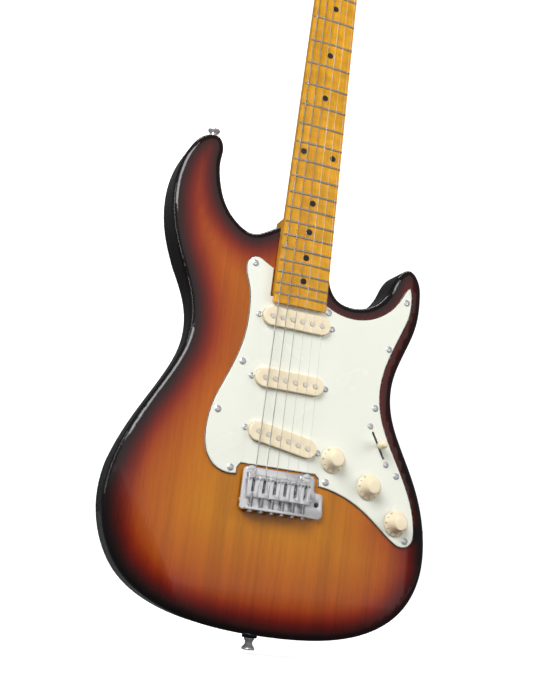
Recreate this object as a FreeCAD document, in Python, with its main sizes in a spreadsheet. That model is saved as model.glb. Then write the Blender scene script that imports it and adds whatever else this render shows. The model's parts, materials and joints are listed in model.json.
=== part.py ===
"""Solid-body electric guitar with a two-point tremolo, as a parametric FreeCAD document.

Every sub-part is drawn in one working frame: x towards the treble side, y into the body from its
front face, z up the neck from the saddle line.  Each sub-part's Placement then carries it to the
row frame, whose origin is the outer end of the end strap button, halfway through the body.
"""
import FreeCAD, Part
import math
import os
import re
import Sketcher
from FreeCAD import Placement, Rotation, Vector

DOC = FreeCAD.newDocument("electric_guitar")
SHEET = DOC.addObject("Spreadsheet::Sheet", "sheet")

DIMENSIONS = {
    # scale and overall
    "scale_length": 647.7, "fret_count": 22, "saddle_line": 156.5,
    "body_thick": 45.0, "body_edge": 6.0, "guard_thick": 2.3, "string_lift": 14.0,
    "arm_bend": 170.0, "arm_lean": 23.6, "belly_bend": 250.0, "belly_slope": 16.7,
    # neck
    "nut_half": 20.8, "board_end_half": 27.9, "board_end": 172.5, "heel_end": 180.0,
    "board_top": 9.8, "board_thick": 4.8, "board_radius": 241.0, "pocket_depth": 16.0,
    "head_face": -2.5, "head_thick": 14.0, "nut_thick": 3.3, "rod_radius": 2.5,
    "fret_wide": 2.4, "fret_high": 1.1, "tang_wide": 0.6, "tang_deep": 1.6,
    "dot_radius": 3.2, "dot_deep": 1.5,
    # neck plate
    "plate_width": 50.0, "plate_height": 60.0, "plate_thick": 2.0, "plate_z": 212.0,
    "neck_screw_x": 19.0, "neck_screw_z": 24.0, "neck_screw_length": 44.0, "neck_screw_radius": 2.0,
    # pickups
    "cover_length": 71.0, "cover_width": 18.6, "cover_wall": 1.4, "cover_top": 7.2,
    "cover_deep": 7.0, "pole_radius": 2.4, "pole_pitch": 10.4, "pole_length": 18.0, "pole_top": 8.0,
    "flat_thick": 2.0, "flat_length": 84.0, "flat_width": 16.0, "pickup_screw_x": 38.8,
    "pickup_pocket_length": 94.0, "pickup_pocket_width": 27.0, "pickup_pocket_deep": 18.0,
    "neck_pickup_z": 158.5, "middle_pickup_z": 97.2, "bridge_pickup_z": 40.3, "bridge_slant": 9.9,
    # controls
    "control_deep": 34.0, "pot_radius": 11.9, "pot_deep": 9.0, "pot_bush_radius": 4.7,
    "shaft_radius": 3.0, "shaft_bore": 3.05, "pot_hole": 4.9, "hex_thick": 2.2, "hex_across": 11.0,
    "knob_skirt": 12.8, "knob_waist": 8.6, "knob_crown": 6.8, "knob_high": 12.8, "knob_lift": 3.4,
    "switch_slot": 29.8, "switch_slot_wide": 2.3, "switch_screws": 41.3, "switch_pivot": 20.0,
    "lever_wide": 4.4, "lever_thick": 1.6, "lever_reach": 12.2, "wafer_wide": 14.0,
    # bridge
    "bridge_top": 6.0, "bridge_thick": 3.0, "stud_x": 28.0, "stud_z": 7.0, "stud_post": 3.0,
    "stud_head": 4.6, "stud_head_thick": 1.7, "stud_gap": 0.9, "bushing_radius": 5.0,
    "bushing_deep": 17.0, "knife_gap": 0.25, "block_length": 66.0, "block_thick": 12.0,
    "block_front": -4.0, "block_bottom": 36.0, "block_gap": 1.6, "string_hole_z": -10.0, "string_hole": 1.7,
    "string_pitch": 10.5, "saddle_width": 10.1, "saddle_plate": 1.6, "saddle_long": 18.0,
    "height_screw": 1.25, "height_screw_x": 3.3, "lip_high": 8.0,
    "lip_thick": 2.2, "plate_rear": -29.5, "arm_x": 41.3, "arm_z": -16.4, "arm_bore": 2.6,
    "arm_boss": 5.2, "arm_length": 14.0,
    # spring cavity
    "spring_deep": 17.0, "spring_top": 88.0, "spring_radius": 3.4, "spring_wire": 0.7,
    "spring_y": 37.6, "claw_z": 72.0, "claw_thick": 2.0, "cover_plate_thick": 1.6,
    # jack
    "jack_z": -40.0, "jack_bore": 3.25, "jack_thread": 4.7, "jack_plate_side": 30.0,
    "jack_plate_thick": 1.6, "jack_face_x": 163.6, "jack_pocket": 10.5,
    # strap buttons
    "strap_high": 11.0, "strap_radius": 6.4, "strap_neck": 3.6, "felt_thick": 3.0, "felt_radius": 7.2,
    "horn_x": -103.6, "strap_screw_radius": 1.7,
    # small screws
    "screw_head": 3.4, "screw_shank": 1.5, "screw_length": 11.0, "machine_radius": 1.5,
    # tuners
    "post_radius": 3.0, "post_bore": 3.05, "tuner_bush_radius": 5.0,
    "tuner_wall": 1.5, "gear_radius": 5.0, "worm_radius": 2.3, "worm_offset": 7.6,
    "worm_shaft": 1.6, "worm_bore": 1.65, "worm_y": 16.6, "tuner_deep": 10.0, "post_high": 15.0,
    "tree_stem": 1.2,
}

INTO = Rotation(Vector(1, 0, 0), -90)      # turns local z to +y, into the body
OUT = Rotation(Vector(1, 0, 0), 90)        # turns local z to -y, out of the front
RIGHT = Rotation(Vector(0, 1, 0), 90)      # turns local z to +x
LEFT = Rotation(Vector(0, 1, 0), -90)      # turns local z to -x
UP = Rotation()
DOWN = Rotation(Vector(1, 0, 0), 180)

BODY_OUTLINE = [
    (-28, 253), (-39, 246), (-54, 240), (-71, 247), (-86, 264), (-94.5, 287), (-96.5, 308),
    (-96, 321), (-103, 331.5), (-114.5, 330), (-127, 317), (-136.5, 293), (-139.5, 262),
    (-133, 226), (-117, 187), (-106, 155), (-105.5, 124), (-119, 87), (-140, 47), (-155.5, 8),
    (-161, -30), (-154, -67), (-133, -101), (-98, -124), (-50, -137.5), (5, -142.5), (60, -141.5),
    (109, -131), (146, -106.5), (163, -73), (164.5, -35), (153, 9), (131, 52), (116, 86),
    (114, 117), (124, 150), (135, 183), (136.5, 212), (131.5, 232), (121.5, 240), (111, 233.5),
    (101, 213), (86, 195), (64, 187), (44, 191), (34, 205), (32, 222), (31, 240), (23, 252),
    (6, 255.5), (-12, 255.5)]
GUARD_BASS = [
    (-28.8, 208), (-40, 213.5), (-48, 216), (-55.5, 212), (-57.5, 204), (-52, 184), (-49, 160),
    (-50, 138), (-61, 98), (-74, 62), (-76.5, 40), (-73.5, 20), (-63, 6), (-50, 1.5), (-41, 2)]
GUARD_TREBLE = [
    (43, 1.5), (62, -2), (88, -13), (112, -30), (126, -40.5), (138, -45), (147.5, -40),
    (149.5, -27), (143, 0), (128, 30), (110, 62), (100, 90), (99, 115), (106, 143), (119, 176),
    (124.5, 203), (121, 219), (113, 207), (101, 190.5), (84, 179), (60, 174), (32.5, 181)]
GUARD_SCREWS = [
    (-49.2, 208.5), (-49.4, 109.3), (-67.5, 59.6), (-47.8, 7.3), (49.8, 6.9), (94.6, 87.6),
    (103.4, 150.1), (118.3, 202.5), (124.5, 23.8), (140.3, -38.2), (33.4, 174.5)]
CONTROL_CAVITY = [
    (40, 46), (40, 17), (72, 2), (100, -18.5), (116, -30), (121, -34.5), (138, -36), (142, -14),
    (128, 0), (119.5, 16), (119.5, 27), (121, 31), (119, 38.5), (99.5, 73), (96, 79), (82, 79),
    (76, 60), (62, 46)]
KNOBS = {"volume_knob": (54.5, 29.5), "neck_tone_knob": (95.5, 9.1), "middle_tone_knob": (128.2, -22.2)}
SWITCH_CENTRE = (101.7, 51.2)
SWITCH_ANGLE = 59.8                        # slope of the switch slot below the treble side
ARM_LINE = (-98, 0, -60)
BELLY_START = (-60, 110)
COVER_SCREWS = [(-44, -36), (44, -36), (-44, 27), (44, 27), (-44, 92), (44, 92)]
HEADSTOCK = [
    (-20.8, 646, 0), (20.8, 646, 0), (22, 664, 20), (31, 690, 40), (28, 760, 60), (35, 800, 14),
    (24, 826, 14), (6, 822, 16), (-6, 812, 10), (-35, 668, 7), (-22, 660, 8)]
FIRST_POST = (-19.0, 676.0)
LAST_POST = (9.0, 803.5)
STRING_RADII = [0.58, 0.46, 0.33, 0.22, 0.165, 0.127]
NUT_SPREAD = 35.0
TREES = [(2, 706.0), (4, 742.0)]
PARTS = []


def fill_sheet():
    for row, (name, value) in enumerate(DIMENSIONS.items(), 1):
        SHEET.set(f"A{row}", name)
        SHEET.set(f"B{row}", str(value))
        SHEET.setAlias(f"B{row}", name)
    DOC.recompute()


def dim(name):
    return float(SHEET.get(name))


def formula(text):
    """An expression over the sheet's cells, from plain cell names and numbers."""
    return re.sub(r"[a-z]\w+", lambda word: "sheet." + word.group(0), text)


def at(x, y, z, turn=UP):
    return Placement(Vector(x, y, z), turn)


def primitive(kind, name, place, **sizes):
    item = DOC.addObject(kind, name)
    for size, text in sizes.items():
        item.setExpression(size, formula(text))
    item.Placement = place
    return item


def cylinder(name, radius, length, place):
    return primitive("Part::Cylinder", name, place, Radius=radius, Height=length)


def cone(name, first, second, length, place):
    return primitive("Part::Cone", name, place, Radius1=first, Radius2=second, Height=length)


def box(name, length, width, height, place):
    """A box centred across its length and width, standing on its place."""
    shift = Vector(-size_of(length) / 2, -size_of(width) / 2, 0)
    seat = place.multiply(Placement(shift, UP))
    return primitive("Part::Box", name, seat, Length=length, Width=width, Height=height)


def size_of(text):
    """The present value of a formula over the sheet's cells."""
    numbers = re.sub(r"[a-z]\w+", lambda word: str(dim(word.group(0))), text)
    return FreeCAD.Units.Quantity(numbers).Value


def cut(name, base, *tools):
    item = DOC.addObject("Part::Cut", name)
    item.Base = base
    item.Tool = tools[0] if len(tools) == 1 else fuse(name + "_tools", *tools)
    return item


def fuse(name, *pieces):
    item = DOC.addObject("Part::MultiFuse", name)
    item.Shapes = list(pieces)
    return item


def common(name, *pieces):
    item = DOC.addObject("Part::MultiCommon", name)
    item.Shapes = list(pieces)
    return item


def compound(name, pieces):
    item = DOC.addObject("Part::Compound", name)
    item.Links = list(pieces)
    return item


def copies(name, master, places):
    """One master shape, linked at each place."""
    links = []
    for number, place in enumerate(places, 1):
        link = DOC.addObject("App::Link", f"{name}_{number}")
        link.LinkedObject = master
        link.LinkPlacement = place
        links.append(link)
    return compound(name, links)


def coded(name, shape):
    item = DOC.addObject("Part::Feature", name)
    item.Shape = shape
    return item


def subpart(label, item):
    """Names a finished sub-part and carries it to the row frame."""
    item.Label = label
    item.Placement = at(0, -dim("body_thick") / 2, dim("saddle_line"))
    item.setExpression("Placement.Base.y", "-sheet.body_thick / 2")
    item.setExpression("Placement.Base.z", "sheet.saddle_line")
    PARTS.append(item)
    return item


# --- sketches and PartDesign features -----------------------------------------------------------

def spline(points, closed=False):
    curve = Part.BSplineCurve()
    curve.interpolate([Vector(x, z, 0) for x, z in points], PeriodicFlag=closed)
    return [curve]


def lines(points, closed=True):
    ends = points[1:] + points[:1] if closed else points[1:]
    return [Part.LineSegment(Vector(*a, 0), Vector(*b, 0)) for a, b in zip(points, ends)]


def rounded(points):
    """A closed outline of straight runs whose corners (x, z, radius) are tangent arcs."""
    shapes = []
    starts, stops = [], []
    for number, (x, z, radius) in enumerate(points):
        corner = Vector(x, z, 0)
        before = Vector(*points[number - 1][:2], 0) - corner
        after = Vector(*points[(number + 1) % len(points)][:2], 0) - corner
        before.normalize()
        after.normalize()
        half = before.getAngle(after) / 2
        reach = radius / math.tan(half)
        start, stop = corner + before * reach, corner + after * reach
        starts.append(start)
        stops.append(stop)
        if radius:
            middle = before + after
            middle.normalize()
            inner = corner + middle * (radius / math.sin(half) - radius)
            shapes.append(Part.Arc(start, inner, stop))
    for number, stop in enumerate(stops):
        shapes.append(Part.LineSegment(stop, starts[(number + 1) % len(points)]))
    return shapes


def stadium(length, width, centre=(0, 0), angle=0):
    """A slot outline with round ends, its length turned by angle."""
    along = Vector(math.cos(math.radians(angle)), math.sin(math.radians(angle)), 0)
    across = Vector(-along.y, along.x, 0)
    middle, radius = Vector(*centre, 0), width / 2
    reach = along * (length / 2 - radius)
    side = across * radius
    tip = along * (length / 2)
    a, b = middle + reach + side, middle - reach + side
    c, d = middle - reach - side, middle + reach - side
    return [Part.LineSegment(a, b), Part.Arc(b, middle - tip, c),
            Part.LineSegment(c, d), Part.Arc(d, middle + tip, a)]


def circle(x, z, radius):
    return [Part.Circle(Vector(x, z, 0), Vector(0, 0, 1), radius)]


def oblong(x0, z0, x1, z1):
    return lines([(x0, z0), (x1, z0), (x1, z1), (x0, z1)])


def sketch_on(body, role, shapes, offset=0.0):
    plane = next(item for item in body.Origin.OriginFeatures if item.Role == role)
    sketch = body.newObject("Sketcher::SketchObject", body.Name + "_sketch")
    sketch.AttachmentSupport = [(plane, "")]
    sketch.MapMode = "FlatFace"
    sketch.AttachmentOffset = at(0, 0, offset)
    sketch.addGeometry(shapes, False)
    for number, shape in enumerate(shapes):
        if isinstance(shape, Part.Circle):
            sketch.addConstraint(Sketcher.Constraint("Radius", number, shape.Radius))
    return sketch


def new_body(name):
    return DOC.addObject("PartDesign::Body", name)


def pad_front(body, shapes, thick, start="0"):
    """Pads an outline of the front plane into the body, from the depth start."""
    sketch = sketch_on(body, "XZ_Plane", shapes, -size_of(start))
    sketch.setExpression("AttachmentOffset.Base.z", "-(" + formula(start) + ")")
    pad = body.newObject("PartDesign::Pad", body.Name + "_pad")
    pad.Profile = sketch
    pad.Reversed = True
    pad.setExpression("Length", formula(thick))
    DOC.recompute()
    return pad


def pocket_front(body, shapes, deep, start="0"):
    """Cuts an outline into the body, from the depth start."""
    before = body.Tip.Shape.Volume
    sketch = sketch_on(body, "XZ_Plane", shapes, -size_of(start))
    sketch.setExpression("AttachmentOffset.Base.z", "-(" + formula(start) + ")")
    pocket = body.newObject("PartDesign::Pocket", body.Name + "_pocket")
    pocket.Profile = sketch
    pocket.setExpression("Length", formula(deep))
    DOC.recompute()
    if pocket.Shape.isNull() or pocket.Shape.Volume > before - 0.1:
        raise RuntimeError(f"a pocket of {body.Name} cuts nothing")
    return pocket


def round_edges(body, feature, chosen, radius):
    names = [f"Edge{n}" for n, edge in enumerate(feature.Shape.Edges, 1) if chosen(edge)]
    fillet = body.newObject("PartDesign::Fillet", body.Name + "_round")
    fillet.Base = (feature, names)
    fillet.setExpression("Radius", formula(radius))
    DOC.recompute()
    return fillet


def flat_edge(edge):
    """An edge that lies in one plane parallel to the front."""
    return edge.BoundBox.YLength < 0.05


def revolved(name, profile):
    """A PartDesign body turned about local z, from a profile of (radius, height) points."""
    body = new_body(name)
    sketch = sketch_on(body, "XZ_Plane", lines(profile))
    turn = body.newObject("PartDesign::Revolution", name + "_turn")
    turn.Profile = sketch
    turn.ReferenceAxis = (sketch, ["V_Axis"])
    turn.Angle = 360
    DOC.recompute()
    return body


# --- places shared by several sub-parts ---------------------------------------------------------

def fret_z(number):
    return dim("scale_length") * 2 ** (-number / 12)


def board_half(z):
    """Half the fretboard's width at a height above the saddle line."""
    share = (z - dim("board_end")) / (dim("scale_length") - dim("board_end"))
    return dim("board_end_half") + share * (dim("nut_half") - dim("board_end_half"))


def pickups():
    """Centre height and slant of the neck, middle and bridge pickups."""
    return [(dim("neck_pickup_z"), 0.0), (dim("middle_pickup_z"), 0.0),
            (dim("bridge_pickup_z"), -dim("bridge_slant"))]


def on_pickup(x, z, pickup):
    centre, slant = pickup
    turn = math.radians(slant)
    return (x * math.cos(turn) - z * math.sin(turn), centre + x * math.sin(turn) + z * math.cos(turn))


def pickup_screws():
    reach = dim("pickup_screw_x")
    return [on_pickup(side * reach, 0, pickup) for pickup in pickups() for side in (-1, 1)]


def switch_screws():
    reach, slope = dim("switch_screws") / 2, math.radians(-SWITCH_ANGLE)
    x, z = SWITCH_CENTRE
    return [(x + side * reach * math.cos(slope), z + side * reach * math.sin(slope)) for side in (-1, 1)]


def neck_screws():
    reach_x, reach_z = dim("neck_screw_x"), dim("neck_screw_z")
    return [(sx * reach_x - 1, dim("plate_z") + sz * reach_z) for sx in (-1, 1) for sz in (-1, 1)]


def studs():
    return [(side * dim("stud_x"), dim("stud_z")) for side in (-1, 1)]


def string_xs():
    return [(number - 2.5) * dim("string_pitch") for number in range(6)]


def nut_xs():
    return [(number / 5 - 0.5) * NUT_SPREAD for number in range(6)]


def posts():
    """Tuner posts, evenly spaced along the bass side of the headstock."""
    (x0, z0), (x1, z1) = FIRST_POST, LAST_POST
    return [(x0 + (x1 - x0) * number / 5, z0 + (z1 - z0) * number / 5) for number in range(6)]


# --- body ---------------------------------------------------------------------------------------

def tree_places():
    """Where each string tree is screwed down, midway between its two strings."""
    places = []
    nut_z = dim("scale_length") + dim("nut_thick") / 2
    for first, z in TREES:
        xs = []
        for number in (first, first + 1):
            post_x, post_z = posts()[number]
            side = post_x + dim("post_radius") + STRING_RADII[number]
            share = (z - nut_z) / (post_z - nut_z)
            xs.append(nut_xs()[number] + share * (side - nut_xs()[number]))
        places.append((sum(xs) / 2, z))
    return places


def loop_spline(points, count):
    """A closed smooth curve through the points, divided into pieces of equal share."""
    whole = spline(points, True)[0]
    first, last = whole.FirstParameter, whole.LastParameter
    marks = [first + (last - first) * number / count for number in range(count + 1)]
    pieces = []
    for start, stop in zip(marks, marks[1:]):
        piece = whole.copy()
        piece.segment(start, stop)
        pieces.append(piece)
    return pieces


def rim_edge(shape, edge):
    """An edge that runs round the blank, between its side wall and a face."""
    if edge.BoundBox.YLength > dim("body_thick") - 1:
        return False
    middle = edge.valueAt((edge.FirstParameter + edge.LastParameter) / 2)
    slants = [abs(face.normalAt(*face.Surface.parameter(middle)).y)
              for face in shape.ancestorsOfType(edge, Part.Face)]
    return min(slants) < 0.01


def body_blank():
    """The outline's slab with its two contours, and every rim edge rounded over."""
    slab = new_body("body_slab")
    pad_front(slab, loop_spline(BODY_OUTLINE, 7), "body_thick")
    carved = cut("carved_slab", slab, arm_contour(), belly_contour())
    DOC.recompute()
    blank = DOC.addObject("Part::Fillet", "body_blank")
    blank.Base = carved
    radius = dim("body_edge")
    blank.Edges = [(number, radius, radius) for number, edge in enumerate(carved.Shape.Edges, 1)
                   if rim_edge(carved.Shape, edge)]
    return blank


def cavity(name, shapes, deep, start="0"):
    """The room that a routed cavity takes, from the depth start."""
    room = new_body(name)
    pad_front(room, shapes, deep, start)
    return room


def cavities():
    """Neck pocket, pickup and control cavities, and the tremolo's rooms from both faces."""
    gap, last, heel = 0.1, 262, dim("heel_end")
    pocket = [(-board_half(heel) - gap, heel), (board_half(heel) + gap, heel),
              (board_half(last) + gap, last), (-board_half(last) - gap, last)]
    rooms = [cavity("neck_pocket", lines(pocket), "pocket_depth + 1", "-1")]
    size = (dim("pickup_pocket_length"), dim("pickup_pocket_width"))
    for height, slant in pickups():
        rooms.append(cavity("pickup_room", stadium(*size, (0, height), slant), "pickup_pocket_deep + 1",
                            "-1"))
    rooms.append(cavity("control_room", lines(CONTROL_CAVITY), "control_deep + 1", "-1"))
    rooms.append(cavity("wire_channel", oblong(30, 36, 44, 168), "pickup_pocket_deep + 0.5", "-1"))
    reach = dim("block_length") / 2 + 5
    bass_side = dim("block_length") / 2 + dim("block_gap")
    rooms.append(cavity("block_room", oblong(-bass_side, -27, reach, -0.5), "body_thick + 2", "-1"))
    rooms.append(cavity("spring_room", oblong(-reach, -27, reach, dim("spring_top")),
                        "spring_deep + 1", "body_thick - spring_deep"))
    return rooms


def screw_holes():
    """Bores that run straight into the body from its front or back face."""
    back = dim("body_thick")
    holes = [cylinder("stud_hole", "bushing_radius", "bushing_deep + 1", at(x, -1, z, INTO))
             for x, z in studs()]
    holes += [cylinder("neck_way", "neck_screw_radius + 0.3", "40", at(x, back + 1, z, OUT))
              for x, z in neck_screws()]
    holes += [cylinder("guard_hole", "screw_shank", "screw_length", at(x, -1, z, INTO))
              for x, z in GUARD_SCREWS]
    holes += [cylinder("cover_hole", "screw_shank", "screw_length + 1", at(x, back + 1, z, OUT))
              for x, z in COVER_SCREWS]
    return holes


def arm_contour():
    """What the forearm contour takes off the front of the bass side's lower bout."""
    block = primitive("Part::Box", "arm_block", at(-120, -20, -150), Length="120", Width="60", Height="300")
    bar = primitive("Part::Cylinder", "arm_bar", at(0, dim("arm_bend") - 0.3, -160),
                    Radius="arm_bend", Height="320")
    contour = cut("arm_contour", block, bar)
    contour.Placement = Placement(Vector(*ARM_LINE), Rotation(Vector(0, 1, 0), -dim("arm_lean")))
    return contour


def belly_contour():
    """The hollow for the player's ribs on the back, deepest at the bass side's waist."""
    slope = math.radians(dim("belly_slope"))
    outward = Vector(-math.cos(slope), -math.sin(slope), 0)
    away = Vector(-math.sin(slope), math.cos(slope), 0)
    foot = Vector(BELLY_START[0], dim("body_thick"), BELLY_START[1])
    seat = Placement(foot + away * dim("belly_bend") - outward * 60, Rotation(Vector(0, 0, 1), outward))
    return cylinder("belly_contour", "belly_bend", "240", seat)


def rim_holes():
    """Bores that enter the rim: strap screws, claw screws, the jack and its plate's recess."""
    middle = "body_thick / 2"
    y = size_of(middle)
    jack_z = dim("jack_z")
    side = dim("jack_plate_side") + 0.4
    recess = primitive("Part::Box", "jack_recess", at(dim("jack_face_x"), y - side / 2, jack_z - side / 2),
                       Length="20", Width="jack_plate_side + 0.4", Height="jack_plate_side + 0.4")
    bore = cylinder("jack_tunnel", "jack_pocket", "44", at(dim("jack_face_x") - 43, y, jack_z, RIGHT))
    strap = [cylinder("end_strap_hole", "strap_screw_radius", "24", at(0, y, -144, UP)),
             cylinder("horn_strap_hole", "strap_screw_radius", "24", at(dim("horn_x"), y, 311, UP))]
    claw = [cylinder("claw_hole", "neck_screw_radius", "30", at(x, dim("spring_y"), dim("spring_top") - 1))
            for x in (-14, 14)]
    plate = [cylinder("jack_plate_hole", "screw_shank", "screw_length",
                      at(dim("jack_face_x") - dim("screw_length") + 2, y + s * 11, jack_z + s * 11, RIGHT))
             for s in (-1, 1)]
    arm = cylinder("arm_room", "8", "arm_length + 4", at(dim("arm_x"), -1, dim("arm_z"), INTO))
    return [recess, bore, arm, *strap, *claw, *plate]


def make_body():
    seats = [cylinder("strap_seat", "felt_radius", "20", at(0, size_of("body_thick / 2"), -142.4, DOWN)),
             cylinder("horn_seat", "felt_radius", "20",
                      at(dim("horn_x"), size_of("body_thick / 2"), 331.4))]
    tools = [*cavities(), *rim_holes(), *screw_holes(), *seats]
    subpart("body", cut("body", body_blank(), *tools))


# --- neck ---------------------------------------------------------------------------------------

def neck_section(body, z, deep):
    """A D-shaped section of the neck's wood, flat under the fretboard."""
    half, top = board_half(z), dim("board_thick") - dim("board_top")
    shape = [(-1, 0), (-0.93, 0.4), (-0.6, 0.86), (0, 1), (0.6, 0.86), (0.93, 0.4), (1, 0)]
    back = spline([(x * half, top + y * deep) for x, y in shape])
    front = lines([(half, top), (-half, top)], False)
    return sketch_on(body, "XY_Plane", back + front, z)


def make_neck():
    top = "board_thick - board_top"
    wood = new_body("neck_wood")
    sections = [neck_section(wood, z, deep) for z, deep in ((250, 19), (430, 17.6), (655, 16.2))]
    loft = wood.newObject("PartDesign::AdditiveLoft", "neck_shaft")
    loft.Profile = sections[0]
    loft.Sections = sections[1:]
    DOC.recompute()
    last = 262
    heel = [(-board_half(dim("heel_end")), dim("heel_end")), (board_half(dim("heel_end")), dim("heel_end")),
            (board_half(last), last), (-board_half(last), last)]
    pad_front(wood, rounded([(*point, 3) for point in heel]), "pocket_depth + board_top - board_thick", top)
    pad_front(wood, rounded(HEADSTOCK), "head_thick", "head_face")
    holes = [cylinder("post_hole", "tuner_bush_radius", "head_thick + 4", at(x, -4, z, INTO))
             for x, z in posts()]
    screws = [cylinder("heel_hole", "neck_screw_radius", "22", at(x, 0, z, INTO)) for x, z in neck_screws()]
    stems = [cylinder("tree_hole", "tree_stem", "head_thick / 2", at(x, -4, z, INTO))
             for x, z in tree_places()]
    subpart("neck", cut("neck", wood, rod_shape("rod_channel"), *holes, *screws, *stems))


def rod_shape(name):
    """The truss rod with its nut at the heel; the same shape is its channel in the neck."""
    bar = cylinder(name + "_bar", "rod_radius", "scale_length - 210", at(0, -1, 190))
    return fuse(name, bar, cylinder(name + "_nut", "rod_radius + 1", "7", at(0, -1, 184)))


def board_bar(name, gap=0.0):
    """A bar along the neck whose surface is the fretboard's crown, larger by the gap."""
    radius = dim("board_radius")
    return cylinder(name, f"board_radius + {gap}", "scale_length", at(0, radius - dim("board_top"), 100))


def ring_piece(points, z, half):
    """A crowned strip across the board: an outline (offset along z, height) swept about the crown's axis."""
    radius = dim("board_radius")
    axis = Vector(0, radius - dim("board_top"), 0)
    sweep = math.degrees(math.asin(half / radius))
    outline = Part.makePolygon([Vector(0, -dim("board_top") - high, z + along) for along, high in points])
    face = Part.Face(outline)
    face.rotate(axis, Vector(0, 0, 1), -sweep)
    return face.revolve(axis, Vector(0, 0, 1), 2 * sweep)


def fret_profile():
    """Crown and tang of the fret wire, as (offset, height) points about the board's surface."""
    wide, high, tang, deep = (dim(name) for name in ("fret_wide", "fret_high", "tang_wide", "tang_deep"))
    crown = [(math.cos(turn) * wide / 2, math.sin(turn) * high)
             for turn in (math.radians(step * 22.5) for step in range(9))]
    return [(tang / 2, -deep), (tang / 2, 0)] + crown + [(-tang / 2, 0), (-tang / 2, -deep),
                                                         (tang / 2, -deep)]


def tang_profile():
    tang, deep = dim("tang_wide") / 2, dim("tang_deep")
    return [(tang, -deep), (tang, 3), (-tang, 3), (-tang, -deep), (tang, -deep)]


def fret_rows():
    return [fret_z(number) for number in range(1, int(dim("fret_count")) + 1)]


def dot_places():
    spots = []
    for number in (3, 5, 7, 9, 12, 15, 17, 19, 21):
        z = (fret_z(number - 1) + fret_z(number)) / 2
        spots += [(-16, z), (16, z)] if number == 12 else [(0, z)]
    return spots


def make_fretboard():
    board = new_body("board_blank")
    nut_end = dim("scale_length")
    ends = [(-board_half(dim("board_end")), dim("board_end")),
            (board_half(dim("board_end")), dim("board_end")),
            (board_half(nut_end), nut_end), (-board_half(nut_end), nut_end)]
    pad_front(board, lines(ends), "board_thick", "-board_top")
    crowned = common("crowned_board", board, board_bar("board_crown"))
    slots = coded("fret_slots", Part.makeCompound(
        [ring_piece(tang_profile(), z, board_half(z) + 1) for z in fret_rows()]))
    dots = [cylinder("dot_hole", "dot_radius", "8", at(x, dim("dot_deep") - dim("board_top"), z, OUT))
            for x, z in dot_places()]
    subpart("fretboard", cut("fretboard", crowned, slots, *dots))
    frets = coded("frets", Part.makeCompound(
        [ring_piece(fret_profile(), z, board_half(z) - 0.3) for z in fret_rows()]))
    subpart("frets", frets)
    plugs = compound("dot_plugs", [
        cylinder("dot_plug", "dot_radius", "8", at(x, dim("dot_deep") - dim("board_top"), z, OUT))
        for x, z in dot_places()])
    subpart("fret_markers", common("fret_markers", plugs, board_bar("dot_crown")))


def make_nut():
    base = dim("scale_length")
    nut = primitive("Part::Box", "nut_blank", at(-dim("nut_half"), -dim("board_top") - 2.6, base),
                    Length="2 * nut_half", Width="2.6 + board_thick", Height="nut_thick")
    slots = []
    for x, radius in zip(nut_xs(), STRING_RADII):
        y, wide = string_y(x, base), radius + 0.04
        slots.append(cylinder("nut_slot", str(wide), "8", at(x, y, base - 2)))
        slots.append(primitive("Part::Box", "nut_mouth", at(x - wide, y - 8, base - 2),
                               Length=str(2 * wide), Width="8", Height="8"))
    subpart("nut", cut("nut", nut, *slots))


def string_y(x, z):
    """Depth of a string over the board: it runs from the saddles down to the nut, and follows the crown."""
    nut_lift = dim("board_top") + 1.7
    lift = dim("string_lift") + (nut_lift - dim("string_lift")) * z / dim("scale_length")
    return x * x / (2 * dim("board_radius")) - lift


# --- neck plate, pickguard, covers and screws ----------------------------------------------------

def screw_master(name, head, shank, length, recess=True):
    """A countersunk oval-head screw: top of the head at 0, point along local -z."""
    dome = common(name + "_dome", primitive("Part::Sphere", name + "_ball", at(0, 0, -6.8), Radius="7"),
                  cylinder(name + "_rim", head, "2", at(0, 0, -1)))
    neck = cone(name + "_neck", shank, head, "1.6", at(0, 0, -2.6))
    rod = cylinder(name + "_rod", shank, f"{length} - 2.6", at(0, 0, -size_of(length) + 1.5))
    point = cone(name + "_point", "0.3", shank, "1.5", at(0, 0, -size_of(length)))
    solid = fuse(name + "_solid", dome, neck, rod, point)
    arms = [primitive("Part::Box", name + "_cross", at(-w / 2, -d / 2, -0.9),
                      Length=str(w), Width=str(d), Height="4") for w, d in ((3.4, 0.8), (0.8, 3.4))]
    return cut(name + "_screw", solid, *arms)


def make_plate_screws():
    master = screw_master("plate", "screw_head", "screw_shank - 0.05", "screw_length")
    y, rim = size_of("body_thick / 2"), 1.0
    places = [at(x, -dim("guard_thick") - rim, z, OUT) for x, z in GUARD_SCREWS]
    back = dim("body_thick") + dim("cover_plate_thick") + rim
    places += [at(x, back, z, INTO) for x, z in COVER_SCREWS]
    places += [at(dim("jack_face_x") + dim("jack_plate_thick") + rim, y + s * 11, dim("jack_z") + s * 11,
                  RIGHT)
               for s in (-1, 1)]
    subpart("plate_screws", copies("plate_screws", master, places))


def countersinks(name, spots, face, turn):
    """Conical seats for the oval heads of plate screws, mouth at face."""
    return [cone(f"{name}_seat", "screw_head + 0.05", "screw_shank + 0.05", "1.7", at(x, face, z, turn))
            for x, z in spots]


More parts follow.
